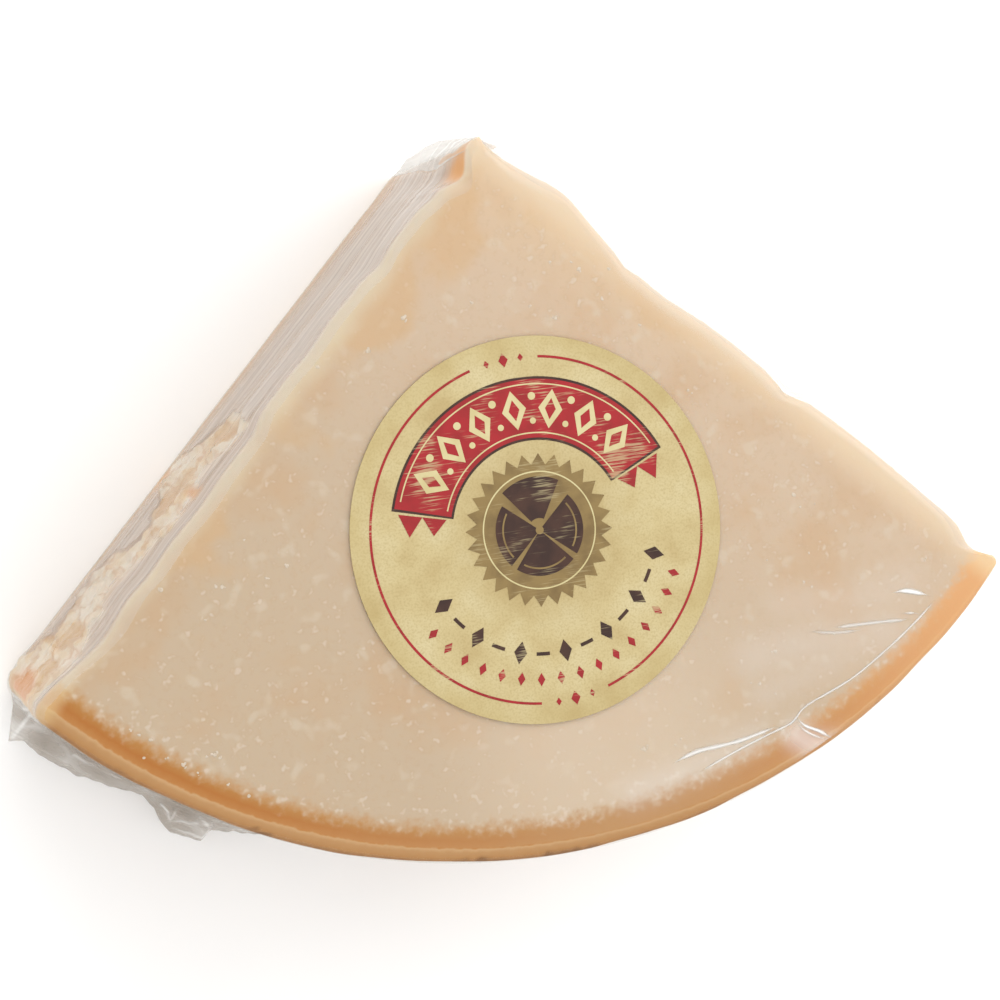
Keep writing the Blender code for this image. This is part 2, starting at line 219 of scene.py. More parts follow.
# Folds and veils of the film on the face: width, height, milkiness, and path over the face in mm
Fold = namedtuple("Fold", "width height milk path")
# the folds' milkiness is a painted highlight along each crest
FOLDS = (
    Fold(0.0009, 0.00016, 0.60, (
        (41.4, -89.0), (48.0, -86.7), (54.0, -84.7), (60.3, -82.9), (66.3, -81.2), (71.3, -80.0),
        (73.7, -78.6), (74.6, -76.7), (77.7, -75.1), (83.8, -73.1), (91.4, -70.5), (95.6, -68.5),
        (102.7, -64.5), (109.9, -60.2), (116.5, -55.8), (122.8, -51.0),
    )),
    Fold(0.0015, 0.00024, 0.70, (
        (33.2, -85.2), (38.0, -83.6), (42.3, -82.7), (48.6, -82.6), (55.0, -82.2), (61.5, -81.0),
        (67.4, -79.9),
    )),
    Fold(0.0013, 0.00024, 0.90, ((73.4, -78.0), (75.0, -80.9), (76.2, -81.7), (79.9, -83.2), (84.6, -86.9))),
    Fold(0.0010, 0.00018, 0.70, ((73.2, -79.4), (74.7, -82.1), (78.4, -84.7), (82.6, -86.6))),
    Fold(0.0010, 0.00016, 0.60, ((74.2, -78.6), (71.8, -79.3), (70.1, -80.7), (70.9, -82.0))),
    Fold(0.0018, 0.00028, 1.00, ((108.6, -46.9), (112.4, -46.4), (116.6, -47.6), (121.4, -49.6))),
    Fold(0.0014, 0.00022, 0.80, ((111.0, -53.4), (114.8, -53.4), (117.3, -54.5))),
    Fold(0.0012, 0.00016, 0.50, ((88.3, -54.1), (97.5, -54.4), (105.7, -54.8), (114.2, -55.5))),
    Fold(0.0012, 0.00014, 0.35, ((80.8, -54.0), (89.1, -55.7), (98.2, -56.2))),
    Fold(0.0009, 0.00018, 0.80, ((80.5, 21.4), (81.0, 18.2), (83.0, 16.2), (86.0, 14.6), (88.6, 14.2))),
    Fold(0.0007, 0.00016, 0.60, ((81.4, 20.9), (82.3, 18.3), (84.3, 16.6), (88.9, 15.1))),
    Fold(0.0018, 0.00022, 0.90, ((1.2, 97.0), (3.4, 94.9), (5.6, 92.7))),
    Fold(0.0009, 0.00016, 0.90, ((-10.5, 83.8), (-9.4, 84.0))),
)
VEILS = (
    Fold(0.0060, 0.0, 0.09, ((74.1, -43.9), (86.0, -46.2), (95.2, -46.8), (114.0, -44.8))),
    Fold(0.0070, 0.0, 0.12, ((62.6, -58.6), (73.0, -57.6), (84.1, -57.0), (105.7, -56.9))),
    Fold(0.0050, 0.0, 0.14, ((20.5, -91.4), (31.0, -89.4), (41.7, -87.0), (59.1, -82.3))),
    Fold(0.0050, 0.0, 0.09, ((64.3, -69.8), (75.0, -66.6), (86.5, -63.4), (105.7, -56.1))),
    Fold(0.0045, 0.0, 0.34, ((72.8, -83.4), (76.0, -86.2), (80.5, -88.4), (84.2, -89.4))),
)
# the same on the loose film: along the rind and outwards from it, in mm
SKIRT_FOLDS = (
    Fold(0.0004, 0.0, 0.10, ((-136.0, 6.0), (-130.1, 5.9), (-125.3, 5.8), (-120.4, 5.4))),
    Fold(0.0004, 0.0, 0.16, ((-101.1, 12.7), (-103.5, 9.6), (-105.9, 8.3))),
    Fold(0.0004, 0.0, 0.13, ((-101.1, 12.7), (-101.4, 7.5))),
    Fold(0.0004, 0.0, 0.13, ((-101.1, 12.7), (-98.6, 11.1), (-94.1, 10.3))),
    Fold(0.0004, 0.0, 0.14, ((-100.0, 14.2), (-95.9, 14.1), (-90.3, 14.3))),
    Fold(0.0004, 0.0, 0.13, ((-96.2, 7.1), (-92.8, 8.5), (-89.3, 10.8))),
    Fold(0.0004, 0.0, 0.16, ((-91.0, 15.4), (-89.6, 11.5))),
    Fold(0.0005, 0.0, 0.16, ((-154.7, 0.0), (-154.0, 6.0), (-153.3, 11.0))),
    Fold(0.0005, 0.0, 0.14, ((-156.8, 1.9), (-154.7, 0.0))),
)
# and on the fin over the apex: outwards from its root, and height, in mm
TUCK_FOLDS = (
    Fold(0.0005, 0.0, 0.22, ((3.0, 58.0), (8.0, 65.0), (12.0, 68.0))),
    Fold(0.0005, 0.0, 0.22, ((2.0, 66.0), (7.0, 70.0), (12.0, 77.0))),
    Fold(0.0005, 0.0, 0.18, ((2.0, 51.0), (7.0, 55.0), (12.0, 55.0))),
    Fold(0.0005, 0.0, 0.20, ((4.0, 73.0), (9.0, 78.0), (12.0, 84.0))),
    Fold(0.0008, 0.0, 0.08, ((0.5, 2.0), (0.6, 30.0), (0.4, 60.0), (0.6, 90.0))),
)
FOLD_STEP = 0.0008
FOLD_SIDES = 12
FOLD_TAPER = 0.006
FOLD_PASSES = 6

# Loose film low round the rind: angle round the wheel, and how far it stands out
SKIRT = (
    (-47.0, -0.0005), (-45.8, 0.0036), (-44.8, 0.0100), (-44.3, 0.0131), (-43.3, 0.0102),
    (-41.6, 0.0113), (-38.3, 0.0110), (-35.6, 0.0096), (-32.3, 0.0079), (-30.9, 0.0102),
    (-30.1, 0.0131), (-28.9, 0.0156), (-26.1, 0.0153), (-25.7, 0.0111), (-23.2, 0.0100),
    (-21.3, 0.0089), (-16.0, 0.0040), (-11.5, -0.0005),
)
LOOSE_GAP = 0.0002  # all loose film starts this far outside the cheese
SKIRT_STEP = 0.14  # in degrees
SKIRT_ROWS = 48
SKIRT_TOP = 0.026
SKIRT_TIP = 0.0085
SKIRT_BOTTOM = 0.0020
SKIRT_LOWEST = 0.0012
SKIRT_CORNER = -0.146  # beyond this place along the rind the skirt is doubled, and whiter
SKIRT_FACET = 0.0080
SKIRT_CRUMPLE = 0.0014
SKIRT_FLUTTER = 0.0006

# Film bunched into a fin over the apex: height, and how far it stands out
TUCK = (
    (0.0020, -0.0005), (0.0045, 0.0040), (0.0080, 0.0048), (0.0150, 0.0054), (0.0345, 0.0062),
    (0.0515, 0.0057), (0.0690, 0.0037), (0.0820, 0.0022), (0.0900, 0.0011), (0.0940, -0.0006),
)
# How far from the apex it is rooted: height, and distance
TUCK_ROOT = (
    (0.000, 0.0022), (0.010, 0.0030), (0.031, 0.0048), (0.044, 0.0059), (0.057, 0.0080),
    (0.066, 0.0084), (0.073, 0.0072), (0.082, 0.0064), (0.094, 0.0060),
)
TUCK_STEP = 0.0007
TUCK_ROWS = 40
TUCK_WIDE = 0.012
TUCK_FACET = 0.018
TUCK_CRUMPLE = 0.0010

# Label
LABEL_HEART = Vector((0.0007, -0.1058))
LABEL_MIDDLE = WHEEL_AXIS + Vector((*LABEL_HEART, 0.0))
LABEL_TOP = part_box("label")[1].z
LABEL_TURN = radians(5)
PRINT_LIFT = 0.00004  # between one layer of print and the next
PRINT_STEP = radians(2)
BANNER_MIDDLE = 0.0345
BANNER_APART = 18  # degrees from one diamond of the banner to the next

# Camera: the photograph's place, aim, roll and lens
CAMERA_PLACE = Vector((-0.18343, 0.02801, 0.6896))
CAMERA_AIM = Vector((-0.00787, -0.00250, 0.0960))
CAMERA_UP = Vector((0.1384, 0.9903, -0.0100))
CAMERA_LENS = 79.2
ROOM_LIGHT = 1.22

Column = namedtuple("Column", "x y nx ny rind cut along")


def smooth(x):
    x = min(1.0, max(0.0, x))
    return x * x * (3 - 2 * x)


def mix(a, b, share):
    return a + (b - a) * share


def spread(low, high, step):
    """Evenly spaced values from low to high, both included, about a step apart."""
    count = max(1, round(abs(high - low) / step))
    return [mix(low, high, k / count) for k in range(count + 1)]


def edge_line(along, knots):
    """Height of an edge given by knots, with a soft rise or fall from each to the next."""
    for (low, start), (high, end) in zip(knots, knots[1:]):
        if along <= high:
            return mix(start, end, smooth((along - low) / (high - low)))
    return knots[-1][1]


def swells(along, bumps):
    return sum(height * exp(-(((along - at) / width) ** 2)) for at, height, width in bumps)


def crag(along, z, seed):
    place = Vector((along / GRAIN_ALONG, z / GRAIN_UP, seed))
    nearest = noise.voronoi(place)[0][0]
    crumbs = noise.fractal(place * CRUMBS_A_GRAIN, 1.0, 2.1, 3)
    return CRAG_DEPTH * mix(crumbs, GRAIN_MIDDLE - nearest, GRAIN_SHARE)


def flakes(along, z, seed):
    """Finer flakes and crumbs on the grains."""
    place = Vector((along / GRAIN_ALONG, z / GRAIN_UP, seed)) * FLAKES_A_GRAIN
    nearest, second = noise.voronoi(place)[0][:2]
    return FLAKE_DEPTH * (min(1.0, 2.5 * (second - nearest)) - 0.5 + noise.noise(place * 2.3))


def broken(along, z):
    """How far a place on the left side is broken rather than sliced, from 0 to 1."""
    at, low, high = zip(*BROKEN)
    ragged = noise.fractal(Vector((along, z * 0.5, 0.006)) / (9 * MM), 1.0, 2.0, 3) * BROKEN_RAGGED
    above = z - np.interp(along, at, low) + ragged
    below = np.interp(along, at, high) - z + ragged
    return smooth(min(above, below) / BROKEN_SOFT)


def crag_height(column, z):
    """Height of the crags and flakes on a cut side, where they have their full depth."""
    seed = CRAGS[column.cut].seed
    return crag(column.along, z, seed) + flakes(column.along, z, seed)


def crag_share(column, z):
    """How much of the crags' full depth a place on a cut side has."""
    crags, along = CRAGS[column.cut], column.along
    rough = smooth((along - crags.start) / crags.grow) * smooth((THICKNESS - z) / crags.below_face)
    return rough * smooth(z / CRAG_FOOT) * (broken(along, z) if column.cut == "left" else 1.0)


def cut_form(name, along, z):
    """How far a cut side stands out from its flat cutting plane, without its crags."""
    depth = THICKNESS - z
    under_face = exp(-depth / EDGE_FADE)
    if name == "left":
        return edge_line(along, LEFT_EDGE) * under_face + LEFT_FLARE * depth / THICKNESS
    return swells(along, RIGHT_EDGE) * mix(RIGHT_EDGE_LASTING, 1.0, under_face)


def rind_relief(angle, z):
    place = Vector((angle * RIND_HOLLOWS_ROUND, z * RIND_HOLLOWS_UP, RIND_SEED))
    return RIND_UNEVEN * noise.fractal(place, 1.0, 2.0, 2)


def facing(cut):
    return Vector((cut.side * cos(cut.angle), sin(cut.angle)))


def running(cut):
    return Vector((cut.side * sin(cut.angle), -cos(cut.angle)))


def crossing(inset):
    """Where the two cuts would cross if each were moved inwards by inset."""
    left, right = facing(CUTS["left"]), facing(CUTS["right"])
    to_left, to_right = CUTS["left"].offset - inset, CUTS["right"].offset - inset
    share = left.x * right.y - right.x * left.y
    x = (to_left * right.y - to_right * left.y) / share
    y = (left.x * to_right - right.x * to_left) / share
    return Vector((x, y))


def corner_centre(cut):
    off = cut.offset - CORNER_ROUND
    reach = sqrt((WHEEL_RADIUS - CORNER_ROUND) ** 2 - off**2)
    return facing(cut) * off + running(cut) * reach


def cut_columns(name, step):
    cut = CUTS[name]
    way, out, apex = running(cut), facing(cut), crossing(0.0)
    start = (crossing(APEX_ROUND) - apex).dot(way)
    end = (corner_centre(cut) - apex).dot(way)
    made = []
    for along in spread(start, end, step):
        place = apex + way * along
        made.append(Column(place.x, place.y, out.x, out.y, 0.0, name, along))
    return made


def corner_columns(name):
    cut = CUTS[name]
    centre = corner_centre(cut)
    along = (centre - crossing(0.0)).dot(running(cut))
    turn_from, turn_to = cut.angle, atan2(centre.y, abs(centre.x))
    made = []
    for k in range(1, ROUND_STEPS):
        share = k / ROUND_STEPS
        turn = mix(turn_from, turn_to, share)
        out = Vector((cut.side * cos(turn), sin(turn)))
        place = centre + out * CORNER_ROUND
        made.append(Column(place.x, place.y, out.x, out.y, share, name, along))
    return made


def rind_columns():
    left, right = corner_centre(CUTS["left"]), corner_centre(CUTS["right"])
    angle_from, angle_to = atan2(left.x, -left.y), atan2(right.x, -right.y)
    made = []
    for angle in spread(angle_from, angle_to, RIND_STEP / WHEEL_RADIUS):
        out = Vector((sin(angle), -cos(angle)))
        place = out * WHEEL_RADIUS
        made.append(Column(place.x, place.y, out.x, out.y, 1.0, "rind", angle))
    return made


def apex_columns():
    centre = crossing(APEX_ROUND)
    made = []
    for k in range(1, ROUND_STEPS):
        turn = mix(CUTS["right"].angle, pi - CUTS["left"].angle, k / ROUND_STEPS)
        out = Vector((cos(turn), sin(turn)))
        name = "right" if out.x > 0 else "left"
        place = centre + out * APEX_ROUND
        along = (centre - crossing(0.0)).dot(running(CUTS[name]))
        made.append(Column(place.x, place.y, out.x, out.y, 0.0, name, along))
    return made


def outline():
    """Columns round the pack, seen from above: left cut, rind, right cut, apex."""
    left = cut_columns("left", LEFT_STEP) + corner_columns("left")
    right = cut_columns("right", RIGHT_STEP) + corner_columns("right")
    return left + rind_columns() + right[::-1] + apex_columns()


Row = namedtuple("Row", "zone share")


def side_rows():
    """Rows of the pack's side, from its foot up to the inner end of the rim's rounding."""
    foot = [Row("foot", k / ROUND_STEPS) for k in range(ROUND_STEPS)]
    wall = [Row("wall", share) for share in spread(0.0, 1.0, WALL_STEP / THICKNESS)]
    rim = [Row("rim", k / ROUND_STEPS) for k in range(1, ROUND_STEPS + 1)]
    return foot + wall + rim


def cells(columns, rows):
    """Every place of the side, as its indices, its row and its column."""
    for i, row in enumerate(rows):
        for j, column in enumerate(columns):
            yield i, j, row, column


def row_height(row, rim):
    """Height of a row, and how far its rounding sets it in."""
    turn = row.share * pi / 2
    if row.zone == "foot":
        return FOOT_ROUND * (1 - cos(turn)), FOOT_ROUND * (1 - sin(turn))
    if row.zone == "wall":
        return mix(FOOT_ROUND, THICKNESS - rim, row.share), 0.0
    return THICKNESS - rim * (1 - sin(turn)), rim * (1 - cos(turn))


def inwards(column, inset):
    """A step towards the label that takes the outline in by inset, so that no corner folds over."""
    way = (LABEL_HEART - Vector((column.x, column.y))).normalized()
    return way * inset / -way.dot(Vector((column.nx, column.ny)))


def side_relief(columns, rows):
    """How far each place of the side stands out from the plain wedge: its form, and its crags."""
    form, rough = np.zeros((2, len(rows), len(columns)))
    for i, j, row, column in cells(columns, rows):
        z = row_height(row, mix(RIM_ROUND_CUT, RIM_ROUND_RIND, column.rind))[0]
        if column.cut == "rind":
            rough[i, j] = rind_relief(column.along, z)
            continue
        share = 1 - column.rind
        form[i, j] = cut_form(column.cut, column.along, z) * share
        rough[i, j] = crag_height(column, z) * crag_share(column, z) * share
    return form, rough


def drawn_tight(stand):
    """Film drawn over a rough side: it touches the high places and spans the hollows."""
    film = stand.copy()
    for span in FILM_SPANS:
        for _ in range(FILM_PASSES):
            beside = (np.roll(film, span, axis=1) + np.roll(film, -span, axis=1)) / 2
            above = np.vstack((film[1:], film[-1:]))
            below = np.vstack((film[:1], film[:-1]))
            film = np.maximum(0.8 * beside + 0.1 * above + 0.1 * below, stand)
    return film


def wrinkles(columns, rows):
    """Long low wrinkles of the film down the left side, side by side like combed hair."""
    height = np.zeros((len(rows), len(columns)))
    for i, j, row, column in cells(columns, rows):
        if column.cut != "left":
            continue
        z = row_height(row, RIM_ROUND_CUT)[0]
        smoothness = 1 - 0.8 * crag_share(column, z)
        near_rim = smooth((THICKNESS - z) / (3 * MM))
        fan = mix(0.75, 1.0, smooth(column.along / FAN_OUT))
        place = Vector((column.along / WRINKLE_LONG, z / WRINKLE_APART / fan, 2.0))
        line = 1 - abs(noise.noise(place) + 0.5 * noise.noise(place * 2.1))
        height[i, j] = WRINKLE_DEPTH * line**2 * smoothness * near_rim * (1 - column.rind)
    return height


def shell_places(columns, rows, stand, gap, face_height):
    """Places of a shell round the wedge: rows of the side, then rings inwards over the face."""
    places = np.zeros((len(rows) + FACE_RINGS, len(columns), 3))
    for i, j, row, column in cells(columns, rows):
        z, inset = row_height(row, mix(RIM_ROUND_CUT, RIM_ROUND_RIND, column.rind))
        out = stand[i, j] + gap
        rounded = inwards(column, inset)
        places[i, j, 0] = column.x + column.nx * out + rounded.x
        places[i, j, 1] = column.y + column.ny * out + rounded.y
        places[i, j, 2] = z
    places += np.array(WHEEL_AXIS)
    rim_ring = places[len(rows) - 1].copy()
    middle = np.array((LABEL_MIDDLE.x, LABEL_MIDDLE.y, 0.0))
    for k in range(1, FACE_RINGS + 1):
        share = FACE_END * (k / FACE_RINGS) ** RINGS_CROWDED
        ring = rim_ring * (1 - share) + middle * share
        easing = smooth(k / 3)
        for j, (x, y, _) in enumerate(ring):
            ring[j, 2] = THICKNESS + easing * face_height(x, y)
        places[len(rows) + k - 1] = ring
    return places


def loft(bm, places, attributes=None, closed=True):
    """Adds a skin through rows of places: a flat grid pulled to them, and sewn up round the back."""
    floats = bm.verts.layers.float
    layers = {key: floats.get(key) or floats.new(key) for key in attributes or {}}
    count, around = places.shape[:2]
    across = around if closed else around - 1
    grid = bmesh.ops.create_grid(bm, x_segments=across, y_segments=count - 1, size=0.5)["verts"]
    for vertex in grid:
        j = round((vertex.co.x + 0.5) * across) % around
        i = round((vertex.co.y + 0.5) * (count - 1))
        vertex.co = places[i, j]
        for key, layer in layers.items():
            vertex[layer] = attributes[key][i, j]
    if closed:
        bmesh.ops.remove_doubles(bm, verts=grid, dist=1e-7)
        bmesh.ops.holes_fill(bm, edges=[e for e in bm.edges if e.is_boundary], sides=0)
        bmesh.ops.recalc_face_normals(bm, faces=bm.faces)


def lofted(name, places, attributes=None, closed=True):
    bm = bmesh.new()
    loft(bm, places, attributes, closed)
    return finished(name, bm)


def finished(name, bm, smoothly=True):
    mesh = bpy.data.meshes.new(name)
    bm.to_mesh(mesh)
    bm.free()
    if smoothly:
        mesh.shade_smooth()
    made = bpy.data.objects.new(name, mesh)
    bpy.context.scene.collection.objects.link(made)
    return made


def fit_out(piece, finish):
    """Gives a piece its finish, and lets it ride with the pack."""
    piece.data.materials.append(finish)
    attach(piece, "root")


# Materials

def paint(code, alpha=1.0):
    """An sRGB hex colour as linear red, green, blue and alpha."""
    parts = [int(code[k : k + 2], 16) / 255 for k in (1, 3, 5)]
    linear = [p / 12.92 if p <= 0.04045 else ((p + 0.055) / 1.055) ** 2.4 for p in parts]
    return (*linear, alpha)


def add(tree, kind, inputs=None, stops=None, out=0, **settings):
    """Adds a node and returns one of its outputs. inputs gives sockets their values or links."""
    made = tree.nodes.new(kind)
    for name, value in settings.items():
        setattr(made, name, value)
    for key, value in (inputs or {}).items():
        if isinstance(value, bpy.types.NodeSocket):
            tree.links.new(value, made.inputs[key])
        else:
            made.inputs[key].default_value = value
    if stops:
        elements = made.color_ramp.elements
        while len(elements) < len(stops):
            elements.new(0.5)
        for element, (place, shade) in zip(elements, stops):
            element.position = place
            element.color = paint(shade)
    return made.outputs[out]


def new_material(name):
    """An empty material with its node tree and the place that patterns are laid out in."""
    made = bpy.data.materials.new(name)
    made.use_nodes = True
    made.node_tree.nodes.clear()
    return made, made.node_tree, add(made.node_tree, "ShaderNodeTexCoord", out="Object")


def show(tree, shader):
    tree.links.new(shader, tree.nodes.new("ShaderNodeOutputMaterial").inputs[0])


def cover(tree, base, over, value, low, high, most=1.0):
    """Lays another colour over base, more and more as value goes from low to high."""
    share = add(
        tree,
        "ShaderNodeMapRange",
        {"Value": value, 1: low, 2: high, 4: most},
        interpolation_type="SMOOTHSTEP",
    )
    base, over = (paint(c) if isinstance(c, str) else c for c in (base, over))
    return add(tree, "ShaderNodeMix", {0: share, 6: base, 7: over}, out=2, data_type="RGBA")


def paste_nodes(tree, place, mark, right_light_slant, near):
    """Cut paste: paler and pinker to the right and at the apex, tanner low on the left: painted light from
    the right.
    """
    # painted light: the paste is drawn paler and pinker the further it lies towards the right and the apex
    across = add(tree, "ShaderNodeMapRange", {"Value": right_light_slant, 1: -0.07, 2: 0.07})
    paste = add(
        tree,
        "ShaderNodeValToRGB",
        {0: across},
        stops=((0.0, "#baa58c"), (0.35, "#bca78f"), (0.85, "#c4ad95"), (1.0, "#caaf90")),
    )
    cloud = add(tree, "ShaderNodeTexNoise", {"Vector": place, "Scale": 1 / (26 * MM), "Detail": 3.0})
    paste = cover(tree, paste, "#bd9973", cloud, 0.48, 0.72, 0.45)
    spots = add(tree, "ShaderNodeTexNoise", {"Vector": place, "Scale": 1 / (6 * MM), "Detail": 1.0})
    paste = cover(tree, paste, "#ccc0ae", spots, 0.58, 0.74, 0.35)
    mottle = add(tree, "ShaderNodeTexNoise", {"Vector": place, "Scale": 1 / (2.2 * MM), "Detail": 2.0})
    paste = cover(tree, paste, "#b29473", mottle, 0.48, 0.72, 0.26)

    low = add(
        tree, "ShaderNodeVectorMath", {0: place, 1: PALE_MIDDLE}, operation="DISTANCE", out="Value"
    )
    paste = cover(tree, paste, "#ccb9a3", low, 62 * MM, 12 * MM, 0.60)

    # small soft flecks, thicker towards the rind
    flecks = add(tree, "ShaderNodeTexNoise", {"Vector": place, "Scale": 1 / (2.2 * MM), "Detail": 1.0})
    by_rind = add(tree, "ShaderNodeMapRange", {"Value": mark["band"], 1: 1.8, 2: 4.6, 3: 0.075, 4: 0.0})
    thicker = add(tree, "ShaderNodeMath", {0: flecks, 1: by_rind}, operation="ADD")
    paste = cover(tree, paste, "#d2c5b6", thicker, 0.62, 0.80, 0.50)

    # a paler dried margin along the cuts, with warm patches inside it
    nearby = add(
        tree, "ShaderNodeMath", {0: cloud, 1: 60 * MM, 2: mark["margin"]}, operation="MULTIPLY_ADD"
    )
    paste = cover(tree, paste, "#c49e70", nearby, 44 * MM, 34 * MM, 0.50)
    paste = cover(tree, paste, "#caba9f", near, 10 * MM, 3 * MM, 0.95)
    # a painted glow of light along the right cut, which faces the light
    return cover(tree, paste, "#d6c0a4", mark["to_right"], 15 * MM, 1 * MM, 1.0)


def side_nodes(tree, place, mark):
    """Cut sides: peach where they were sliced, with tan stains and painted shade in the notch below the
    apex, and flaky where they broke.
    """
    # tan where stained, and in the notch below the apex as painted shade
    sliced = cover(tree, "#bf9c7a", "#cd8a2c", mark["stain_and_shade"], 0.0, 1.0)

    # cream flakes about a centimetre by two, tan along their edges, and darker where they lie deep, which is
    # painted shade in the hollows
    height = add(tree, "ShaderNodeSeparateXYZ", {0: place}, out="Z")
    laid = add(tree, "ShaderNodeCombineXYZ", {0: mark["along"], 1: height})
    flake = add(
        tree, "ShaderNodeVectorMath", {0: laid, 1: (1 / (11 * MM), 1 / (23 * MM), 1)}, operation="MULTIPLY"
    )
    bend = add(tree, "ShaderNodeTexNoise", {"Vector": flake, "Scale": 1.3, "Detail": 3.0}, out="Color")
    bent = add(
        tree, "ShaderNodeVectorMath", {0: bend, 1: (1.5, 1.5, 0), 2: flake}, operation="MULTIPLY_ADD"
    )
    edge = add(
        tree,
        "ShaderNodeTexVoronoi",
        {"Vector": bent, "Scale": 1.0},
        out="Distance",
        feature="DISTANCE_TO_EDGE",
    )
    tone = add(tree, "ShaderNodeTexNoise", {"Vector": bent, "Scale": 0.9, "Detail": 2.0})
    flaky = add(
        tree,
        "ShaderNodeValToRGB",
        {0: tone},
        stops=((0.36, "#cba56f"), (0.44, "#d6ba90"), (0.52, "#d9c8af"), (0.68, "#dfd4c3")),
    )
    flaky = cover(tree, flaky, "#b98445", edge, 0.12, 0.0, 0.55)
    # painted shade where the crags lie deep
    flaky = cover(tree, flaky, "#c3925a", mark["hollow_shade"], 0.50, 1.0, 0.50)
    flaky = cover(tree, flaky, "#c0740c", mark["stain_and_shade"], 0.3, 1.2, 0.90)
    frayed = add(tree, "ShaderNodeMath", {0: tone, 1: mark["rough"]}, operation="ADD")
    return cover(tree, sliced, flaky, frayed, 0.50, 1.10)


def rind_nodes(tree, place, mark, right_light_slant, near, paste):
    """Rind over paste, in bands counted 0 outside, 1 where tan turns orange, 2 where orange ends."""
    speckle = add(tree, "ShaderNodeTexNoise", {"Vector": place, "Scale": 1 / (2.2 * MM), "Detail": 2.0})
    loose = add(tree, "ShaderNodeMath", {0: speckle, 1: 0.5}, operation="SUBTRACT")
    unsettled = add(
        tree, "ShaderNodeMath", {0: loose, 1: 1.3, 2: mark["band"]}, operation="MULTIPLY_ADD"
    )
    grainy = add(tree, "ShaderNodeMath", {0: loose, 1: 0.25, 2: mark["band"]}, operation="MULTIPLY_ADD")
    third = add(tree, "ShaderNodeMath", {0: grainy, 1: 3.0}, operation="DIVIDE")
    crust = add(
        tree,
        "ShaderNodeValToRGB",
        {0: third},
        stops=(
            # the darkest outer stops are partly the rind's own darker skin and partly painted shade on its
            # rounded rim
            (0.00, "#865a2b"),
            (0.08, "#a87946"),
            (0.25, "#b08556"),
            (0.325, "#bc9669"),
            (0.355, "#b0773b"),
            (0.48, "#a96927"),
            (0.60, "#ac7637"),
            (0.72, "#b58650"),
        ),
    )
    orange = add(tree, "ShaderNodeMapRange", {"Value": mark["band"], 1: 0.95, 2: 1.10})
    unbaked = add(
        tree, "ShaderNodeMath", {0: mark["baked"], 1: -1.0, 2: 1.0}, operation="MULTIPLY_ADD"
    )
    calm = add(tree, "ShaderNodeMath", {0: orange, 1: unbaked}, operation="MULTIPLY")
    crust = cover(tree, crust, "#b18658", calm, 0.0, 1.0)
    # painted light: the crust is lighter towards the right, where the light falls
    crust = cover(tree, crust, "#d6a270", right_light_slant, -0.07, 0.07, 1.0)
    crust = cover(tree, crust, "#d0b282", near, 8 * MM, 3 * MM, 0.70)
    # and a painted glow of light along the right cut
    crust = cover(tree, crust, "#dec299", mark["to_right"], 12 * MM, 4 * MM, 0.80)
    crust = cover(tree, crust, "#6a4420", mark["dirt"], 0.15, 0.8, 0.65)
    return cover(tree, paste, crust, unsettled, 2.75, 1.60)


def cheese_material():
    """Aged grana paste, cut with a wire and sealed at once, inside its pressed and oiled rind.

    The eye gets a pale straw paste, a little translucent, cloudy over centimetres and strewn
    with small soft flecks, paler where it dries at the cuts, and towards the rind a baked
    orange band and then tan. Broken places are cream flakes with tan along their edges.
    """
    made, tree, place = new_material("aged grana paste and rind")
    marks = ("margin", "to_right", "band", "baked", "dirt", "side", "stain_and_shade", "rough", "hollow_shade", "along")
    mark = {key: add(tree, "ShaderNodeAttribute", attribute_name=key, out="Fac") for key in marks}
    # how far a place lies towards the right and the apex, the side from which light is painted on paste and
    # rind
    right_light_slant = add(
        tree, "ShaderNodeVectorMath", {0: place, 1: (0.6, 0.8, 0)}, operation="DOT_PRODUCT", out="Value"
    )
    waver = add(tree, "ShaderNodeTexNoise", {"Vector": place, "Scale": 1 / (14 * MM), "Detail": 1.0})
    near = add(
        tree, "ShaderNodeMath", {0: waver, 1: 6 * MM, 2: mark["margin"]}, operation="MULTIPLY_ADD"
    )
    base = paste_nodes(tree, place, mark, right_light_slant, near)
    base = rind_nodes(tree, place, mark, right_light_slant, near, base)
    base = cover(tree, base, side_nodes(tree, place, mark), mark["side"], 0.0, 1.0)

    fine = add(tree, "ShaderNodeTexNoise", {"Vector": place, "Scale": 1 / (1.2 * MM), "Detail": 2.0})
    bump = add(tree, "ShaderNodeBump", {"Strength": 0.15, "Distance": 0.2 * MM, "Height": fine})
    shader = add(
        tree,
        "ShaderNodeBsdfPrincipled",
        {
            "Base Color": base,
            "Roughness": 0.55,
            "IOR": 1.45,
            "Subsurface Weight": 0.30,
            "Subsurface Radius": (1.0, 0.60, 0.35),
            "Subsurface Scale": 2.0 * MM,
            "Normal": bump,
        },
    )
    show(tree, shader)
    return made


def crystal_material():
    """Crystals of amino acid salts in old cheese. The eye gets small soft chalky specks."""
    made, tree, place = new_material("cheese crystal")
    chalk = add(tree, "ShaderNodeTexNoise", {"Vector": place, "Scale": 1 / (0.8 * MM), "Detail": 1.0})
    tone = add(tree, "ShaderNodeValToRGB", {0: chalk}, stops=((0.35, "#bfae99"), (0.60, "#cabcab")))
    show(tree, add(tree, "ShaderNodeBsdfPrincipled", {"Base Color": tone, "Roughness": 0.8}))
    return made


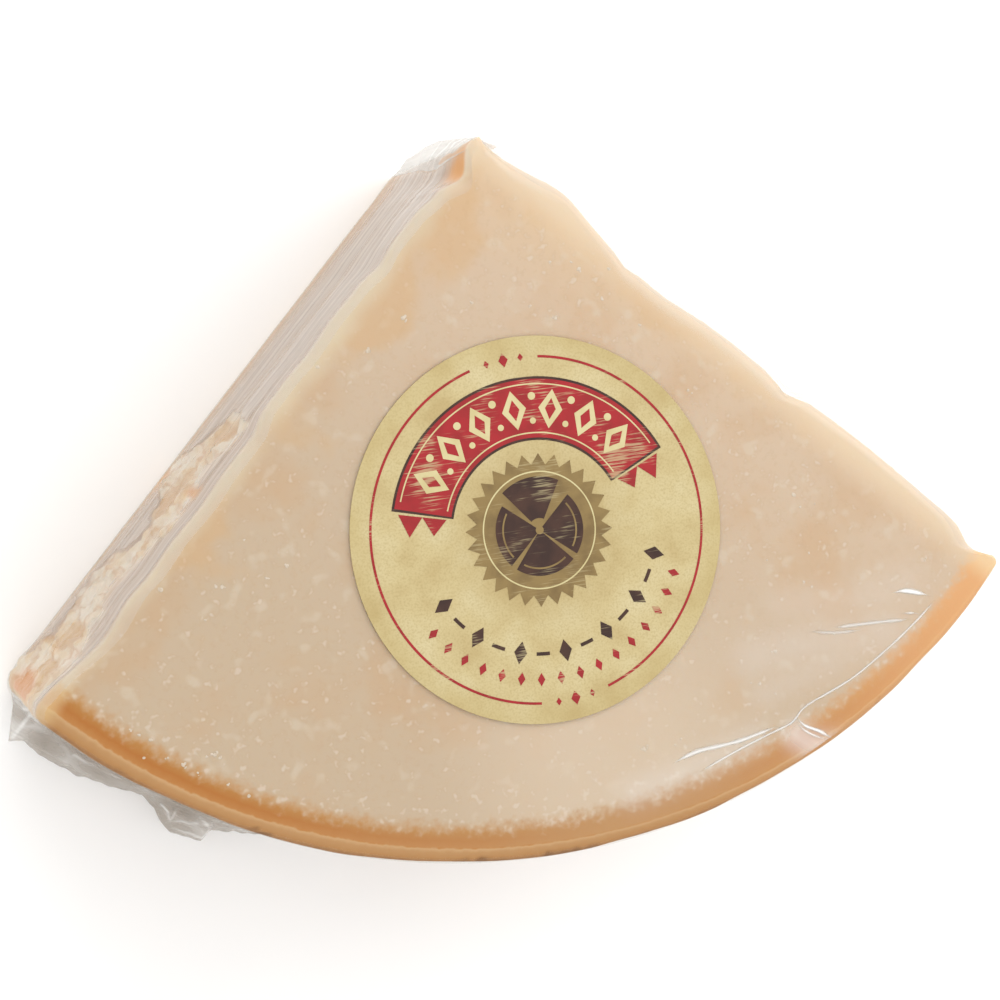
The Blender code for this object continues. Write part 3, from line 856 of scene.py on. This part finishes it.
def film_material(name, clear_tint, milk_shade):
    """Clear polyethylene shrink film, blown thin, vacuum drawn and heat sealed.

    The eye gets sharp reflections that grow towards grazing angles, and a milky haze, drawn out
    into fine streaks, partly painted reflections of its wrinkles, where the film is creased, bunched or
    stands off what it wraps.
    """
    made, tree, _ = new_material(name)
    milk, bright, combed, along, lane = (
        add(tree, "ShaderNodeAttribute", attribute_name=key, out="Fac") for key in FILM_MARKS
    )
    # streaks of milk, partly the film's own haze and partly painted reflections of its wrinkles
    laid = add(tree, "ShaderNodeCombineXYZ", {0: along, 1: lane})
    stretched = add(
        tree,
        "ShaderNodeVectorMath",
        {0: laid, 1: (1 / STREAK_LONG, 1 / STREAK_APART, 1)},
        operation="MULTIPLY",
    )
    streaks = add(
        tree, "ShaderNodeTexNoise", {"Vector": stretched, "Scale": 1.0, "Detail": 3.0, "Roughness": 0.6}
    )
    swing = add(tree, "ShaderNodeMath", {0: streaks, 1: 0.5}, operation="SUBTRACT")
    strength = add(tree, "ShaderNodeMath", {0: swing, 1: combed, 2: 1.0}, operation="MULTIPLY_ADD")
    streaked = add(tree, "ShaderNodeMath", {0: milk, 1: strength}, operation="MULTIPLY", use_clamp=True)
    clear = add(tree, "ShaderNodeBsdfTransparent", {"Color": paint(clear_tint)})
    tone = cover(tree, milk_shade, "#fdfdfb", bright, 0.0, 1.0)
    haze = add(tree, "ShaderNodeBsdfPrincipled", {"Base Color": tone, "Roughness": 0.35, "IOR": 1.5})
    body = add(tree, "ShaderNodeMixShader", {0: streaked, 1: clear, 2: haze})
    gloss = add(tree, "ShaderNodeBsdfGlossy", {"Color": paint("#ffffff"), "Roughness": 0.06})

    # light that leaves the cheese must not be caught under the film, so only its outside mirrors
    grazing = add(tree, "ShaderNodeFresnel", {"IOR": 1.5})
    mirror = add(tree, "ShaderNodeMath", {0: grazing, 1: 0.045}, operation="SUBTRACT", use_clamp=True)
    behind = add(tree, "ShaderNodeNewGeometry", out="Backfacing")
    front = add(
        tree, "ShaderNodeMath", {0: behind, 1: -FILM_GLOSS, 2: FILM_GLOSS}, operation="MULTIPLY_ADD"
    )
    outside = add(tree, "ShaderNodeMath", {0: mirror, 1: front}, operation="MULTIPLY")
    show(tree, add(tree, "ShaderNodeMixShader", {0: outside, 1: body, 2: gloss}))
    return made


def paper_nodes(tree, place):
    """Old looking parchment: cream, clouded with brown over centimetres, with fine fibres."""
    cloud = add(tree, "ShaderNodeTexNoise", {"Vector": place, "Scale": 1 / (14 * MM), "Detail": 6.0})
    paper = add(
        tree,
        "ShaderNodeValToRGB",
        {0: cloud},
        stops=((0.30, "#b09b6a"), (0.50, "#bdac7d"), (0.70, "#c5b78d")),
    )
    fibre = add(tree, "ShaderNodeTexNoise", {"Vector": place, "Scale": 1 / (0.6 * MM), "Detail": 4.0})
    paper = cover(tree, paper, "#9c8857", fibre, 0.40, 0.75, 0.45)
    off = add(tree, "ShaderNodeVectorMath", {0: place, 1: LABEL_MIDDLE}, operation="SUBTRACT")
    level = add(tree, "ShaderNodeVectorMath", {0: off, 1: (1, 1, 0)}, operation="MULTIPLY")
    out = add(tree, "ShaderNodeVectorMath", {0: level}, operation="LENGTH", out="Value")
    paper = cover(tree, paper, "#99814f", out, 34 * MM, 12 * MM, 0.35)
    return cover(tree, paper, "#ab965f", out, 46 * MM, 55 * MM, 0.30)


def label_material():
    """Uncoated label paper, printed to look like parchment. The eye gets a matte mottled cream."""
    made, tree, place = new_material("parchment label paper")
    shader = add(
        tree,
        "ShaderNodeBsdfPrincipled",
        {"Base Color": paper_nodes(tree, place), "Roughness": 0.65, "IOR": 1.45},
    )
    show(tree, shader)
    return made


def ink_material(name, shade, darker, worn):
    """Flexographic ink on uncoated paper. The eye gets an even matte colour, scratched through
    to the paper in fine slanted lines."""
    made, tree, place = new_material(name)
    tone = add(tree, "ShaderNodeTexNoise", {"Vector": place, "Scale": 1 / (6 * MM), "Detail": 4.0})
    ink = cover(tree, shade, darker, tone, 0.35, 0.70)
    slanted = add(
        tree,
        "ShaderNodeMapping",
        {"Vector": place, "Rotation": (0, 0, radians(-28)), "Scale": (1 / (9 * MM), 1 / (0.45 * MM), 1)},
    )
    scratch = add(tree, "ShaderNodeTexNoise", {"Vector": slanted, "Scale": 1.0, "Detail": 5.0})
    patches = add(tree, "ShaderNodeTexNoise", {"Vector": place, "Scale": 1 / (11 * MM), "Detail": 3.0})
    both = add(tree, "ShaderNodeMath", {0: scratch, 1: patches}, operation="MULTIPLY")
    bare = cover(tree, ink, "#bbac81", both, 0.29, 0.40, worn)
    settings = {"Base Color": bare, "Roughness": 0.55, "IOR": 1.45}
    show(tree, add(tree, "ShaderNodeBsdfPrincipled", settings))
    return made


# Cheese and film

def face_height(x, y):
    """The face's faint unevenness, as the wire left it."""
    return FACE_UNEVEN * noise.noise(Vector((x, y, 0.0)) / (18 * MM))


def film_face_height(x, y):
    return face_height(x, y) + FILM_GAP


def between(table, value):
    """Reads a table of (place, value) pairs, along straight lines between them."""
    places, values = zip(*table)
    return np.interp(value, places, values)


def cheese_patterns(columns, rows, places):
    """What the paste's colours follow: distance from the cuts, rind bands and broken places."""
    shape = places.shape[:2]
    keys = ("band", "baked", "dirt", "side", "stain_and_shade", "rough", "hollow_shade", "along")
    made = {key: np.zeros(shape) for key in keys}
    away = places - np.array(WHEEL_AXIS)
    angle = np.degrees(np.arctan2(away[..., 0], -away[..., 1]))
    depth = np.minimum(WHEEL_RADIUS - np.hypot(away[..., 0], away[..., 1]), away[..., 2])
    depth = np.maximum(depth, RIND_OUTSIDE)
    below = THICKNESS - away[..., 2]
    line, inner = between(RIND_LINE, angle), between(RIND_INNER, angle)
    within = depth / line
    beyond = 1 + (depth - line) / (inner - line)
    made["band"] = np.clip(np.where(depth < line, within, beyond), 0.0, 5.0)
    made["baked"] = between(RIND_BAKED, angle)
    frayed = 1 + 0.8 * np.sin(angle * 11) * np.sin(angle * 4.3)
    for at, reach, strength in RIND_DIRT:
        streak = strength * frayed * np.exp(-(((angle - at) / reach) ** 2))
        made["dirt"] += streak * np.exp(-((depth / (1.8 * MM)) ** 2) - (below / (3 * MM)) ** 2)
    for name, cut in CUTS.items():
        out = facing(cut)
        made[name] = cut.offset - (away[..., 0] * out.x + away[..., 1] * out.y)
    made["to_right"] = np.maximum(0.0, made.pop("right"))
    made["margin"] = np.maximum(0.0, np.minimum(made.pop("left"), made["to_right"]))
    for i, j, _, column in cells(columns, rows):
        if column.cut == "rind":
            continue
        z = places[i, j, 2]
        under = smooth((THICKNESS - RIM_ROUND_CUT - z) / (4 * MM))
        above_foot = mix(FOOT_SHARE, 1.0, smooth((z - 2 * MM) / (5 * MM)))
        made["side"][i, j] = under * smooth((depth[i, j] - 0.3 * MM) / MM) * above_foot
        made["rough"][i, j] = crag_share(column, z) * (1 - column.rind)
        # painted shade: darker where the crags lie low
        made["hollow_shade"][i, j] = smooth(0.55 - 0.8 * crag_height(column, z) / CRAG_DEPTH)
        made["stain_and_shade"][i, j] = stained_and_shaded(column.along, z)
        made["along"][i, j] = column.along
    return made


def stained_and_shaded(along, z):
    return sum(
        s.strength * exp(-(((along - s.along) / s.long) ** 2) - ((z - s.height) / s.high) ** 2)
        for s in STAINS_AND_SHADE
    )


def stand_off(column, z):
    """How far the film stands off the paste: only near the top of the right side."""
    if column.cut != "right":
        return 0.0
    return between(RIGHT_GAP, column.along) * exp(-(THICKNESS - z) / GAP_FADE) * (1 - column.rind)


def unmarked(places):
    return {key: np.zeros(places.shape[:2]) for key in FILM_MARKS}


def film_marks(columns, rows, places):
    """Milkiness of the film and its brightness, and the way its streaks run.

    Down the left cut it is streaked like combed hair. It is whiter where it stands off the right
    edge, and clear over the face but for its folds and veils.
    """
    marks = unmarked(places)
    last = len(rows) - 1
    marks["bright"][last + 1 :] = 1.0
    marks["milk"][last + 1 :] = creased(VEILS, places[last + 1 :, :, 0], places[last + 1 :, :, 1])
    inside = np.hypot(*(places - places[last])[..., :2].transpose(2, 0, 1))
    for j, column in enumerate(columns):
        along = column.along * (WHEEL_RADIUS if column.cut == "rind" else 1.0)
        fan = mix(0.85, 1.0, smooth(along / FAN_OUT))
        gap = stand_off(column, THICKNESS)
        for i in range(last + 1, last + 1 + EDGE_RINGS):
            edge = RIGHT_FACE_MILK * smooth(1 - (inside[i, j] - gap) / (2.5 * MM)) * smooth(gap / MM)
            marks["milk"][i, j] = max(marks["milk"][i, j], edge)
        for i, row in enumerate(rows):
            z = places[i, j, 2]
            marks["along"][i, j] = along
            marks["lane"][i, j] = z / fan
            if column.cut == "left":
                broke = crag_share(column, z)
                top = smooth((THICKNESS - RIM_ROUND_CUT - z) / (5 * MM))
                clear = min(1.0, stained_and_shaded(column.along, z))
                milk = mix(SIDE_MILK, BROKEN_MILK, broke) * mix(0.35, 1.0, smooth(z / (24 * MM)))
                milk *= mix(0.35, 1.0, top) * (1 - 0.85 * clear) * (1 - 0.8 * column.rind)
                milk *= mix(0.2, 1.0, smooth((along - between(TUCK_ROOT, z)) / MM))
                marks["milk"][i, j] = milk
                # painted highlight: the film is whiter near the rim, along the face's edge
                marks["bright"][i, j] = 0.5 * (1 - top)
                marks["combed"][i, j] = mix(SIDE_COMBED, BROKEN_COMBED, broke)
            elif column.cut == "right":
                milk = RIGHT_RIM_MILK if row.zone == "rim" else RIGHT_WALL_MILK
                marks["milk"][i, j] = milk * smooth(gap / MM)
                marks["bright"][i, j] = 0.5
            else:
                marks["milk"][i, j] = RIND_MILK
    return marks


def beside(path, x, y):
    """Distance of places x, y from a path given in mm."""
    places = np.array(path) * MM
    nearest = np.full(np.shape(x), 1.0)
    for start, end in zip(places, places[1:]):
        run = end - start
        share = np.clip(((x - start[0]) * run[0] + (y - start[1]) * run[1]) / run.dot(run), 0.0, 1.0)
        away = np.hypot(x - start[0] - share * run[0], y - start[1] - share * run[1])
        nearest = np.minimum(nearest, away)
    return nearest


def creased(folds, x, y):
    """Milkiness that folds lend the film at places x, y."""
    return np.max([f.milk * np.exp(-((beside(f.path, x, y) / f.width) ** 2)) for f in folds], axis=0)


def build_cheese_and_film():
    columns, rows = outline(), side_rows()
    form, rough = side_relief(columns, rows)
    drawn = form + drawn_tight(rough) + wrinkles(columns, rows)
    for i, j, row, column in cells(columns, rows):
        form[i, j] -= stand_off(column, row_height(row, RIM_ROUND_CUT)[0])
    places = shell_places(columns, rows, form + rough, 0.0, face_height)
    cheese = lofted("cheese", places, cheese_patterns(columns, rows, places))
    fit_out(cheese, cheese_material())
    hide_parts("wrapped_wedge")
    places = shell_places(columns, rows, drawn, FILM_GAP, film_face_height)
    film = lofted("film_wrap", places, film_marks(columns, rows, places))
    wrap = film_material("clear shrink film", "#fbfbfa", "#b9aca0")
    fit_out(film, wrap)
    build_folds(wrap)


def build_folds(finish):
    """Folds of the film on the face, each a low ridge that tapers at its ends, whitened along its crest as a
    painted highlight.
    """
    bm = bmesh.new()
    for fold in FOLDS:
        path = np.array(fold.path) * MM
        far = np.concatenate(([0.0], np.cumsum(np.hypot(*np.diff(path, axis=0).T))))
        steps = spread(0.0, far[-1], FOLD_STEP)
        line = np.array([np.interp(steps, far, path[:, k]) for k in (0, 1)]).T
        for _ in range(FOLD_PASSES):
            line[1:-1] = (line[:-2] + line[1:-1] + line[2:]) / 3
        way = np.gradient(line, axis=0)
        way /= np.hypot(way[:, 0], way[:, 1])[:, None]
        places = np.zeros((len(steps), FOLD_SIDES, 3))
        marks = unmarked(places)
        for i, step in enumerate(steps):
            taper = smooth(min(step, far[-1] - step) / FOLD_TAPER + 0.12)
            waver = 1 + 0.35 * noise.noise(Vector((*line[i], fold.width)) * 250)
            for j in range(FOLD_SIDES):
                turn = 2 * pi * j / FOLD_SIDES
                off = cos(turn) * fold.width / 2 * taper * waver
                x, y = line[i, 0] - way[i, 1] * off, line[i, 1] + way[i, 0] * off
                up = fold.height * taper * (1 - abs(cos(turn))) if turn < pi else -0.04 * MM
                places[i, j] = x, y, THICKNESS + film_face_height(x, y) + up
                # painted highlight: the crest is milky white
                marks["milk"][i, j] = fold.milk * taper * (1 - abs(cos(turn))) * (turn < pi)
                marks["bright"][i, j] = 1.0
                marks["along"][i, j] = step
                marks["lane"][i, j] = off
                marks["combed"][i, j] = 1.0
        loft(bm, places, marks)
    fit_out(finished("film_folds", bm), finish)


def build_crystals():
    """The larger crystals, each a flat white fleck with a crumb or two beside it."""
    bm = bmesh.new()
    for k, (x, y, size) in enumerate(CRYSTALS):
        for crumb in range(3):
            seed = Vector((k * 7.3, crumb * 3.1, 0.0))
            throw = Vector((noise.noise(seed + Vector((0, 0, 1))), noise.noise(seed + Vector((0, 0, 5)))))
            reach = size * MM * (0.50 if crumb == 0 else 0.22 + 0.3 * abs(throw.x))
            at = Vector((x, y)) * MM + throw * size * MM * (0.0 if crumb == 0 else 1.3)
            squash = Matrix.Diagonal((1.0 + 0.5 * throw.x, 0.8 + 0.4 * throw.y, 0.12, 1.0))
            turned = Matrix.Rotation(5.0 * throw.y, 4, "Z")
            sunk = Matrix.Translation((at.x, at.y, THICKNESS + face_height(at.x, at.y)))
            bmesh.ops.create_icosphere(bm, subdivisions=2, radius=reach, matrix=sunk @ turned @ squash)
    fit_out(finished("crystals", bm), crystal_material())


def crumple(place, size):
    """Height of crumpled film: flat facets that meet in sharp folds, from 0 to about 1."""
    nearest, second = noise.voronoi(place / size)[0][:2]
    return 1.3 * nearest - 0.5 * min(0.3, second - nearest)


def build_skirt():
    """The loose edge of the bag, flattened into a pocket that stands out low round the rind."""
    angles = spread(SKIRT[0][0], SKIRT[-1][0], SKIRT_STEP)
    shares = spread(-1.0, 1.0, 2 / SKIRT_ROWS)
    places = np.zeros((len(shares), len(angles), 3))
    marks = unmarked(places)
    facets = np.zeros(places.shape[:2])
    for j, turn in enumerate(angles):
        reach = between(SKIRT, turn)
        arc = radians(turn) * WHEEL_RADIUS
        out = Vector((sin(radians(turn)), -cos(radians(turn)), 0.0))
        side = Vector((cos(radians(turn)), sin(radians(turn)), 0.0))
        for i, share in enumerate(shares):
            v = 1 - abs(share)
            root = SKIRT_BOTTOM if share < 0 else SKIRT_TOP
            off = reach * v**0.75
            z = mix(root, SKIRT_TIP, v**0.6)
            at = Vector((arc * 0.6, off * 1.5, 3.0 if share < 0 else 0.0))
            fold = crumple(at, SKIRT_FACET) - 0.5
            loose = smooth(3 * v) * smooth(reach / 0.006)
            give = loose * smooth(abs(share) / 0.15)
            flutter = SKIRT_FLUTTER * noise.noise(Vector((arc * 300, v, 1.0))) * loose
            stand = WHEEL_RADIUS + LOOSE_GAP + off + flutter
            places[i, j] = WHEEL_AXIS + out * stand + side * flutter
            places[i, j, 2] = max(SKIRT_LOWEST, z + SKIRT_CRUMPLE * fold * give)
            marks["along"][i, j] = arc
            marks["lane"][i, j] = off * 2
            facets[i, j] = fold * give
    # white lines along the creases: painted highlights
    line = creased(SKIRT_FOLDS, marks["along"], marks["lane"] / 2) * (np.array(shares) > 0)[:, None]
    corner = np.clip((SKIRT_CORNER - marks["along"]) / 0.005, 0.0, 1.0)
    # painted light: each crumpled facet whiter or greyer with its height; past the corner the doubled film
    # is whiter
    marks["milk"] = SKIRT_MILK + 0.18 * facets + 0.08 * corner + line
    marks["bright"] = np.clip(0.12 + 0.6 * facets + 0.4 * corner + 3 * line, 0.0, 1.0)
    marks["combed"] += SKIRT_COMBED
    skirt = lofted("film_skirt", places, marks, closed=False)
    fit_out(skirt, film_material("loose shrink film", "#e7e4e0", "#afa79c"))


def build_tuck():
    """The end of the bag, folded over the apex and shrunk into a crumpled fin."""
    heights = spread(TUCK[0][0], TUCK[-1][0], TUCK_STEP)
    shares = spread(-1.0, 1.0, 2 / TUCK_ROWS)
    middle = crossing(APEX_ROUND)
    places = np.zeros((len(shares), len(heights), 3))
    marks = unmarked(places)
    for j, z in enumerate(heights):
        reach = between(TUCK, z)
        root = between(TUCK_ROOT, z)
        for i, share in enumerate(shares):
            v = 1 - abs(share)
            name = "left" if share < 0 else "right"
            cut = CUTS[name]
            flank = crossing(0.0) + running(cut) * root
            flank += facing(cut) * (cut_form(name, root, z) + LOOSE_GAP)
            nose = Vector((middle.x, middle.y + APEX_ROUND + reach))
            at = Vector((v * TUCK_WIDE, z, 8.0 if share < 0 else 5.0))
            give = smooth(2.5 * v) * smooth(reach / 0.003) * smooth(abs(share) / 0.25)
            bulge = TUCK_CRUMPLE * (crumple(at, TUCK_FACET) - 0.2) * give
            point = flank.lerp(nose, v**0.8) + facing(cut) * bulge
            places[i, j] = WHEEL_AXIS + Vector((point.x, point.y, z))
            marks["along"][i, j] = z
            marks["lane"][i, j] = v * TUCK_WIDE
    # white lines along the crinkles: painted highlights
    line = creased(TUCK_FOLDS, marks["lane"], marks["along"])
    marks["milk"] = TUCK_MILK + line
    marks["bright"] = np.minimum(1.0, 0.2 + 2 * line)
    marks["combed"] += TUCK_COMBED
    tuck = lofted("film_tuck", places, marks, closed=False)
    fit_out(tuck, film_material("bunched shrink film", "#f3f2f0", "#d8d8d6"))


# Label

def label_point(radius, turn):
    """A place on the label, turn being clockwise from its top."""
    angle = radians(90) - radians(turn) + LABEL_TURN
    return LABEL_MIDDLE + Vector((cos(angle), sin(angle), 0.0)) * radius


def ring_part(bm, inner, outer, start, end):
    """Part of a flat ring round the label's middle, from start to end degrees clockwise of its top."""
    a, b = (bm.verts.new(label_point(r, start)) for r in (inner, outer))
    edge = bm.edges.new((a, b))
    turn = radians(end - start)
    bmesh.ops.spin(
        bm,
        geom=[a, b, edge],
        cent=LABEL_MIDDLE,
        axis=(0, 0, -1),
        angle=turn,
        steps=max(2, ceil(turn / PRINT_STEP)),
        use_merge=end - start >= 360,
    )


def disc(bm, centre, radius):
    at = Matrix.Translation(centre)
    bmesh.ops.create_circle(bm, cap_ends=True, segments=48, radius=radius, matrix=at)


def printed(name, bm, layer, ink):
    """Lays a flat print on the label, with the faint thickness of its ink."""
    bmesh.ops.remove_doubles(bm, verts=bm.verts, dist=1e-6)
    bmesh.ops.translate(bm, verts=bm.verts, vec=(0, 0, LABEL_TOP + layer * PRINT_LIFT - 0.00001))
    grown = bmesh.ops.extrude_face_region(bm, geom=list(bm.faces))["geom"]
    tops = [v for v in grown if isinstance(v, bmesh.types.BMVert)]
    bmesh.ops.translate(bm, verts=tops, vec=(0, 0, PRINT_LIFT))
    bmesh.ops.recalc_face_normals(bm, faces=bm.faces)
    fit_out(finished(name, bm, smoothly=False), ink)


def swallowtail(bm, turn, reach):
    """The forked end of the banner: two darts beyond a place on it."""
    for inner, outer in ((0.0275, 0.0345), (0.0345, 0.0415)):
        corners = [label_point(r, turn) for r in (inner, outer)]
        corners.append(label_point((inner + outer) / 2, turn + reach))
        made = bmesh.ops.create_circle(bm, cap_ends=True, segments=3, radius=0.001)["verts"]
        for vertex, corner in zip(made, corners):
            vertex.co = corner


def diamond(bm, radius, turn, wide, high):
    """A diamond that stands upright on the way out from the label's middle."""
    upright = Matrix.Rotation(LABEL_TURN - radians(turn), 4, "Z")
    shape = Matrix.Diagonal((wide, high, 1.0, 1.0))
    at = Matrix.Translation(label_point(radius, turn))
    bmesh.ops.create_circle(bm, cap_ends=True, segments=4, radius=1.0, matrix=at @ upright @ shape)


def print_ring(red):
    """The thin ring near the label's edge, with three diamonds in each of its two gaps."""
    bm = bmesh.new()
    for start in (12, 192):
        ring_part(bm, 0.0488, 0.0495, start, start + 156)
    for turn in (0, 180):
        diamond(bm, 0.0490, turn, 0.0014, 0.0020)
        for off in (-6, 6):
            diamond(bm, 0.0491, turn + off, 0.0008, 0.0011)
    printed("print_ring", bm, 1, red)


def print_banner(red, brown, cream):
    """A forked banner bent round the top of the medallion, with diamonds and dots along it."""
    bm = bmesh.new()
    ring_part(bm, 0.0255, 0.0435, -70, 70)
    printed("print_banner_edge", bm, 1, brown)
    bm = bmesh.new()
    ring_part(bm, 0.0262, 0.0428, -69, 69)
    swallowtail(bm, 71, 9)
    swallowtail(bm, -71, -9)
    printed("print_banner", bm, 2, red)
    bm = bmesh.new()
    for inner, outer in ((0.0274, 0.0278), (0.0412, 0.0416)):
        ring_part(bm, inner, outer, -66, 66)
    for k in range(-3, 4):
        diamond(bm, BANNER_MIDDLE, k * BANNER_APART, 0.0036, 0.0056)
    for k in range(-3, 3):
        disc(bm, label_point(0.0380, (k + 0.5) * BANNER_APART), 0.0011)
        disc(bm, label_point(0.0310, (k + 0.5) * BANNER_APART), 0.0009)
    printed("print_banner_pattern", bm, 3, cream)
    bm = bmesh.new()
    for k in range(-3, 4):
        diamond(bm, BANNER_MIDDLE, k * BANNER_APART, 0.0016, 0.0030)
    printed("print_banner_hearts", bm, 4, red)


def print_medallion(kraft, brown, cream):
    """A sun of darts with a wheel of cheese on it, cut in four, its top quarter pulled out."""
    bm = bmesh.new()
    sun = bmesh.ops.create_circle(bm, cap_ends=True, segments=56, radius=0.0186)["verts"]
    for k, vertex in enumerate(sun):
        vertex.co *= 1.17 if k % 2 else 1.0
    bmesh.ops.translate(bm, verts=sun, vec=LABEL_MIDDLE)
    printed("print_medallion", bm, 1, kraft)
    bm = bmesh.new()
    ring_part(bm, 0.0164, 0.0168, 0, 360)
    printed("print_medallion_line", bm, 2, cream)
    bm = bmesh.new()
    for start in (52, 142, 232):
        ring_part(bm, 0.0012, 0.0130, start, start + 82)
    ring_part(bm, 0.0034, 0.0152, -34, 34)
    printed("print_wheel", bm, 2, brown)
    bm = bmesh.new()
    for start in (58, 148, 238):
        ring_part(bm, 0.0106, 0.0111, start, start + 70)
    printed("print_wheel_rind", bm, 3, kraft)


def print_border(red, brown):
    """Two rows under the medallion: diamonds and dashes by turns, and smaller diamonds."""
    bm = bmesh.new()
    for k in range(-6, 7):
        turn = 180 + k * 11
        if k % 2:
            ring_part(bm, 0.0346, 0.0356, turn - 3.2, turn + 3.2)
        else:
            diamond(bm, 0.0351, turn, 0.0019, 0.0032)
    printed("print_border", bm, 1, brown)
    bm = bmesh.new()
    for k in range(-8, 8):
        diamond(bm, 0.0424, 180 + (k + 0.5) * 8, 0.0011, 0.0019)
    printed("print_border_diamonds", bm, 1, red)


def build_label():
    """The label's paper, and on it a plain pattern in the colours of such labels."""
    paper = bpy.data.objects["label"]
    paper.data.materials.clear()
    paper.data.materials.append(label_material())
    red = ink_material("red label ink", "#9c141c", "#8c1316", 0.60)
    brown = ink_material("dark brown label ink", "#2f160b", "#412517", 0.45)
    kraft = ink_material("kraft brown label ink", "#846d3f", "#715b33", 0.40)
    cream = ink_material("cream label ink", "#c7bb8d", "#bdae7c", 0.0)
    print_ring(red)
    print_banner(red, brown, cream)
    print_medallion(kraft, brown, cream)
    print_border(red, brown)


# Studio

def aimed(place, aim, up):
    """The matrix of a lamp or camera at place that looks at aim."""
    back = (place - aim).normalized()
    right = up.cross(back).normalized()
    return Matrix.Translation(place) @ Matrix((right, back.cross(right), back)).transposed().to_4x4()


def build_studio():
    camera = bpy.data.objects.new("camera", bpy.data.cameras.new("camera"))
    camera.data.lens = CAMERA_LENS
    camera.data.sensor_width = 36.0
    camera.matrix_world = aimed(CAMERA_PLACE, CAMERA_AIM, CAMERA_UP)
    bpy.context.scene.collection.objects.link(camera)
    bpy.context.scene.camera = camera

    bm = bmesh.new()
    bmesh.ops.create_grid(bm, x_segments=1, y_segments=1, size=2.0)
    floor = finished("floor", bm)
    # matt white paint: an even pale ground, with the faintest clouding
    made, tree, place = new_material("white painted table")
    grain = add(tree, "ShaderNodeTexNoise", {"Vector": place, "Scale": 1 / (60 * MM)})
    tone = add(tree, "ShaderNodeValToRGB", {0: grain}, stops=((0.3, "#f9f9f8"), (0.7, "#fbfbfa")))
    show(tree, add(tree, "ShaderNodeBsdfPrincipled", {"Base Color": tone, "Roughness": 0.8}))
    floor.data.materials.append(made)

    world = bpy.data.worlds.new("soft white room")
    world.use_nodes = True
    world.node_tree.nodes["Background"].inputs["Color"].default_value = paint("#ffffff")
    world.node_tree.nodes["Background"].inputs["Strength"].default_value = ROOM_LIGHT
    bpy.context.scene.world = world
    for name, place, size, power in (
        ("softbox right", (0.90, 0.47, 0.52), 0.60, 3.6),
        ("softbox behind", (-0.10, 0.85, 0.65), 0.50, 1.6),
    ):
        light = bpy.data.lights.new(name, "AREA")
        light.size = size
        light.energy = power
        lamp = bpy.data.objects.new(name, light)
        lamp.matrix_world = aimed(Vector(place), Vector((0, 0, 0.05)), Vector((0, 0, 1)))
        bpy.context.scene.collection.objects.link(lamp)
    bpy.context.scene.view_settings.view_transform = "Standard"


build_studio()
build_cheese_and_film()
build_crystals()
build_skirt()
build_tuck()
build_label()
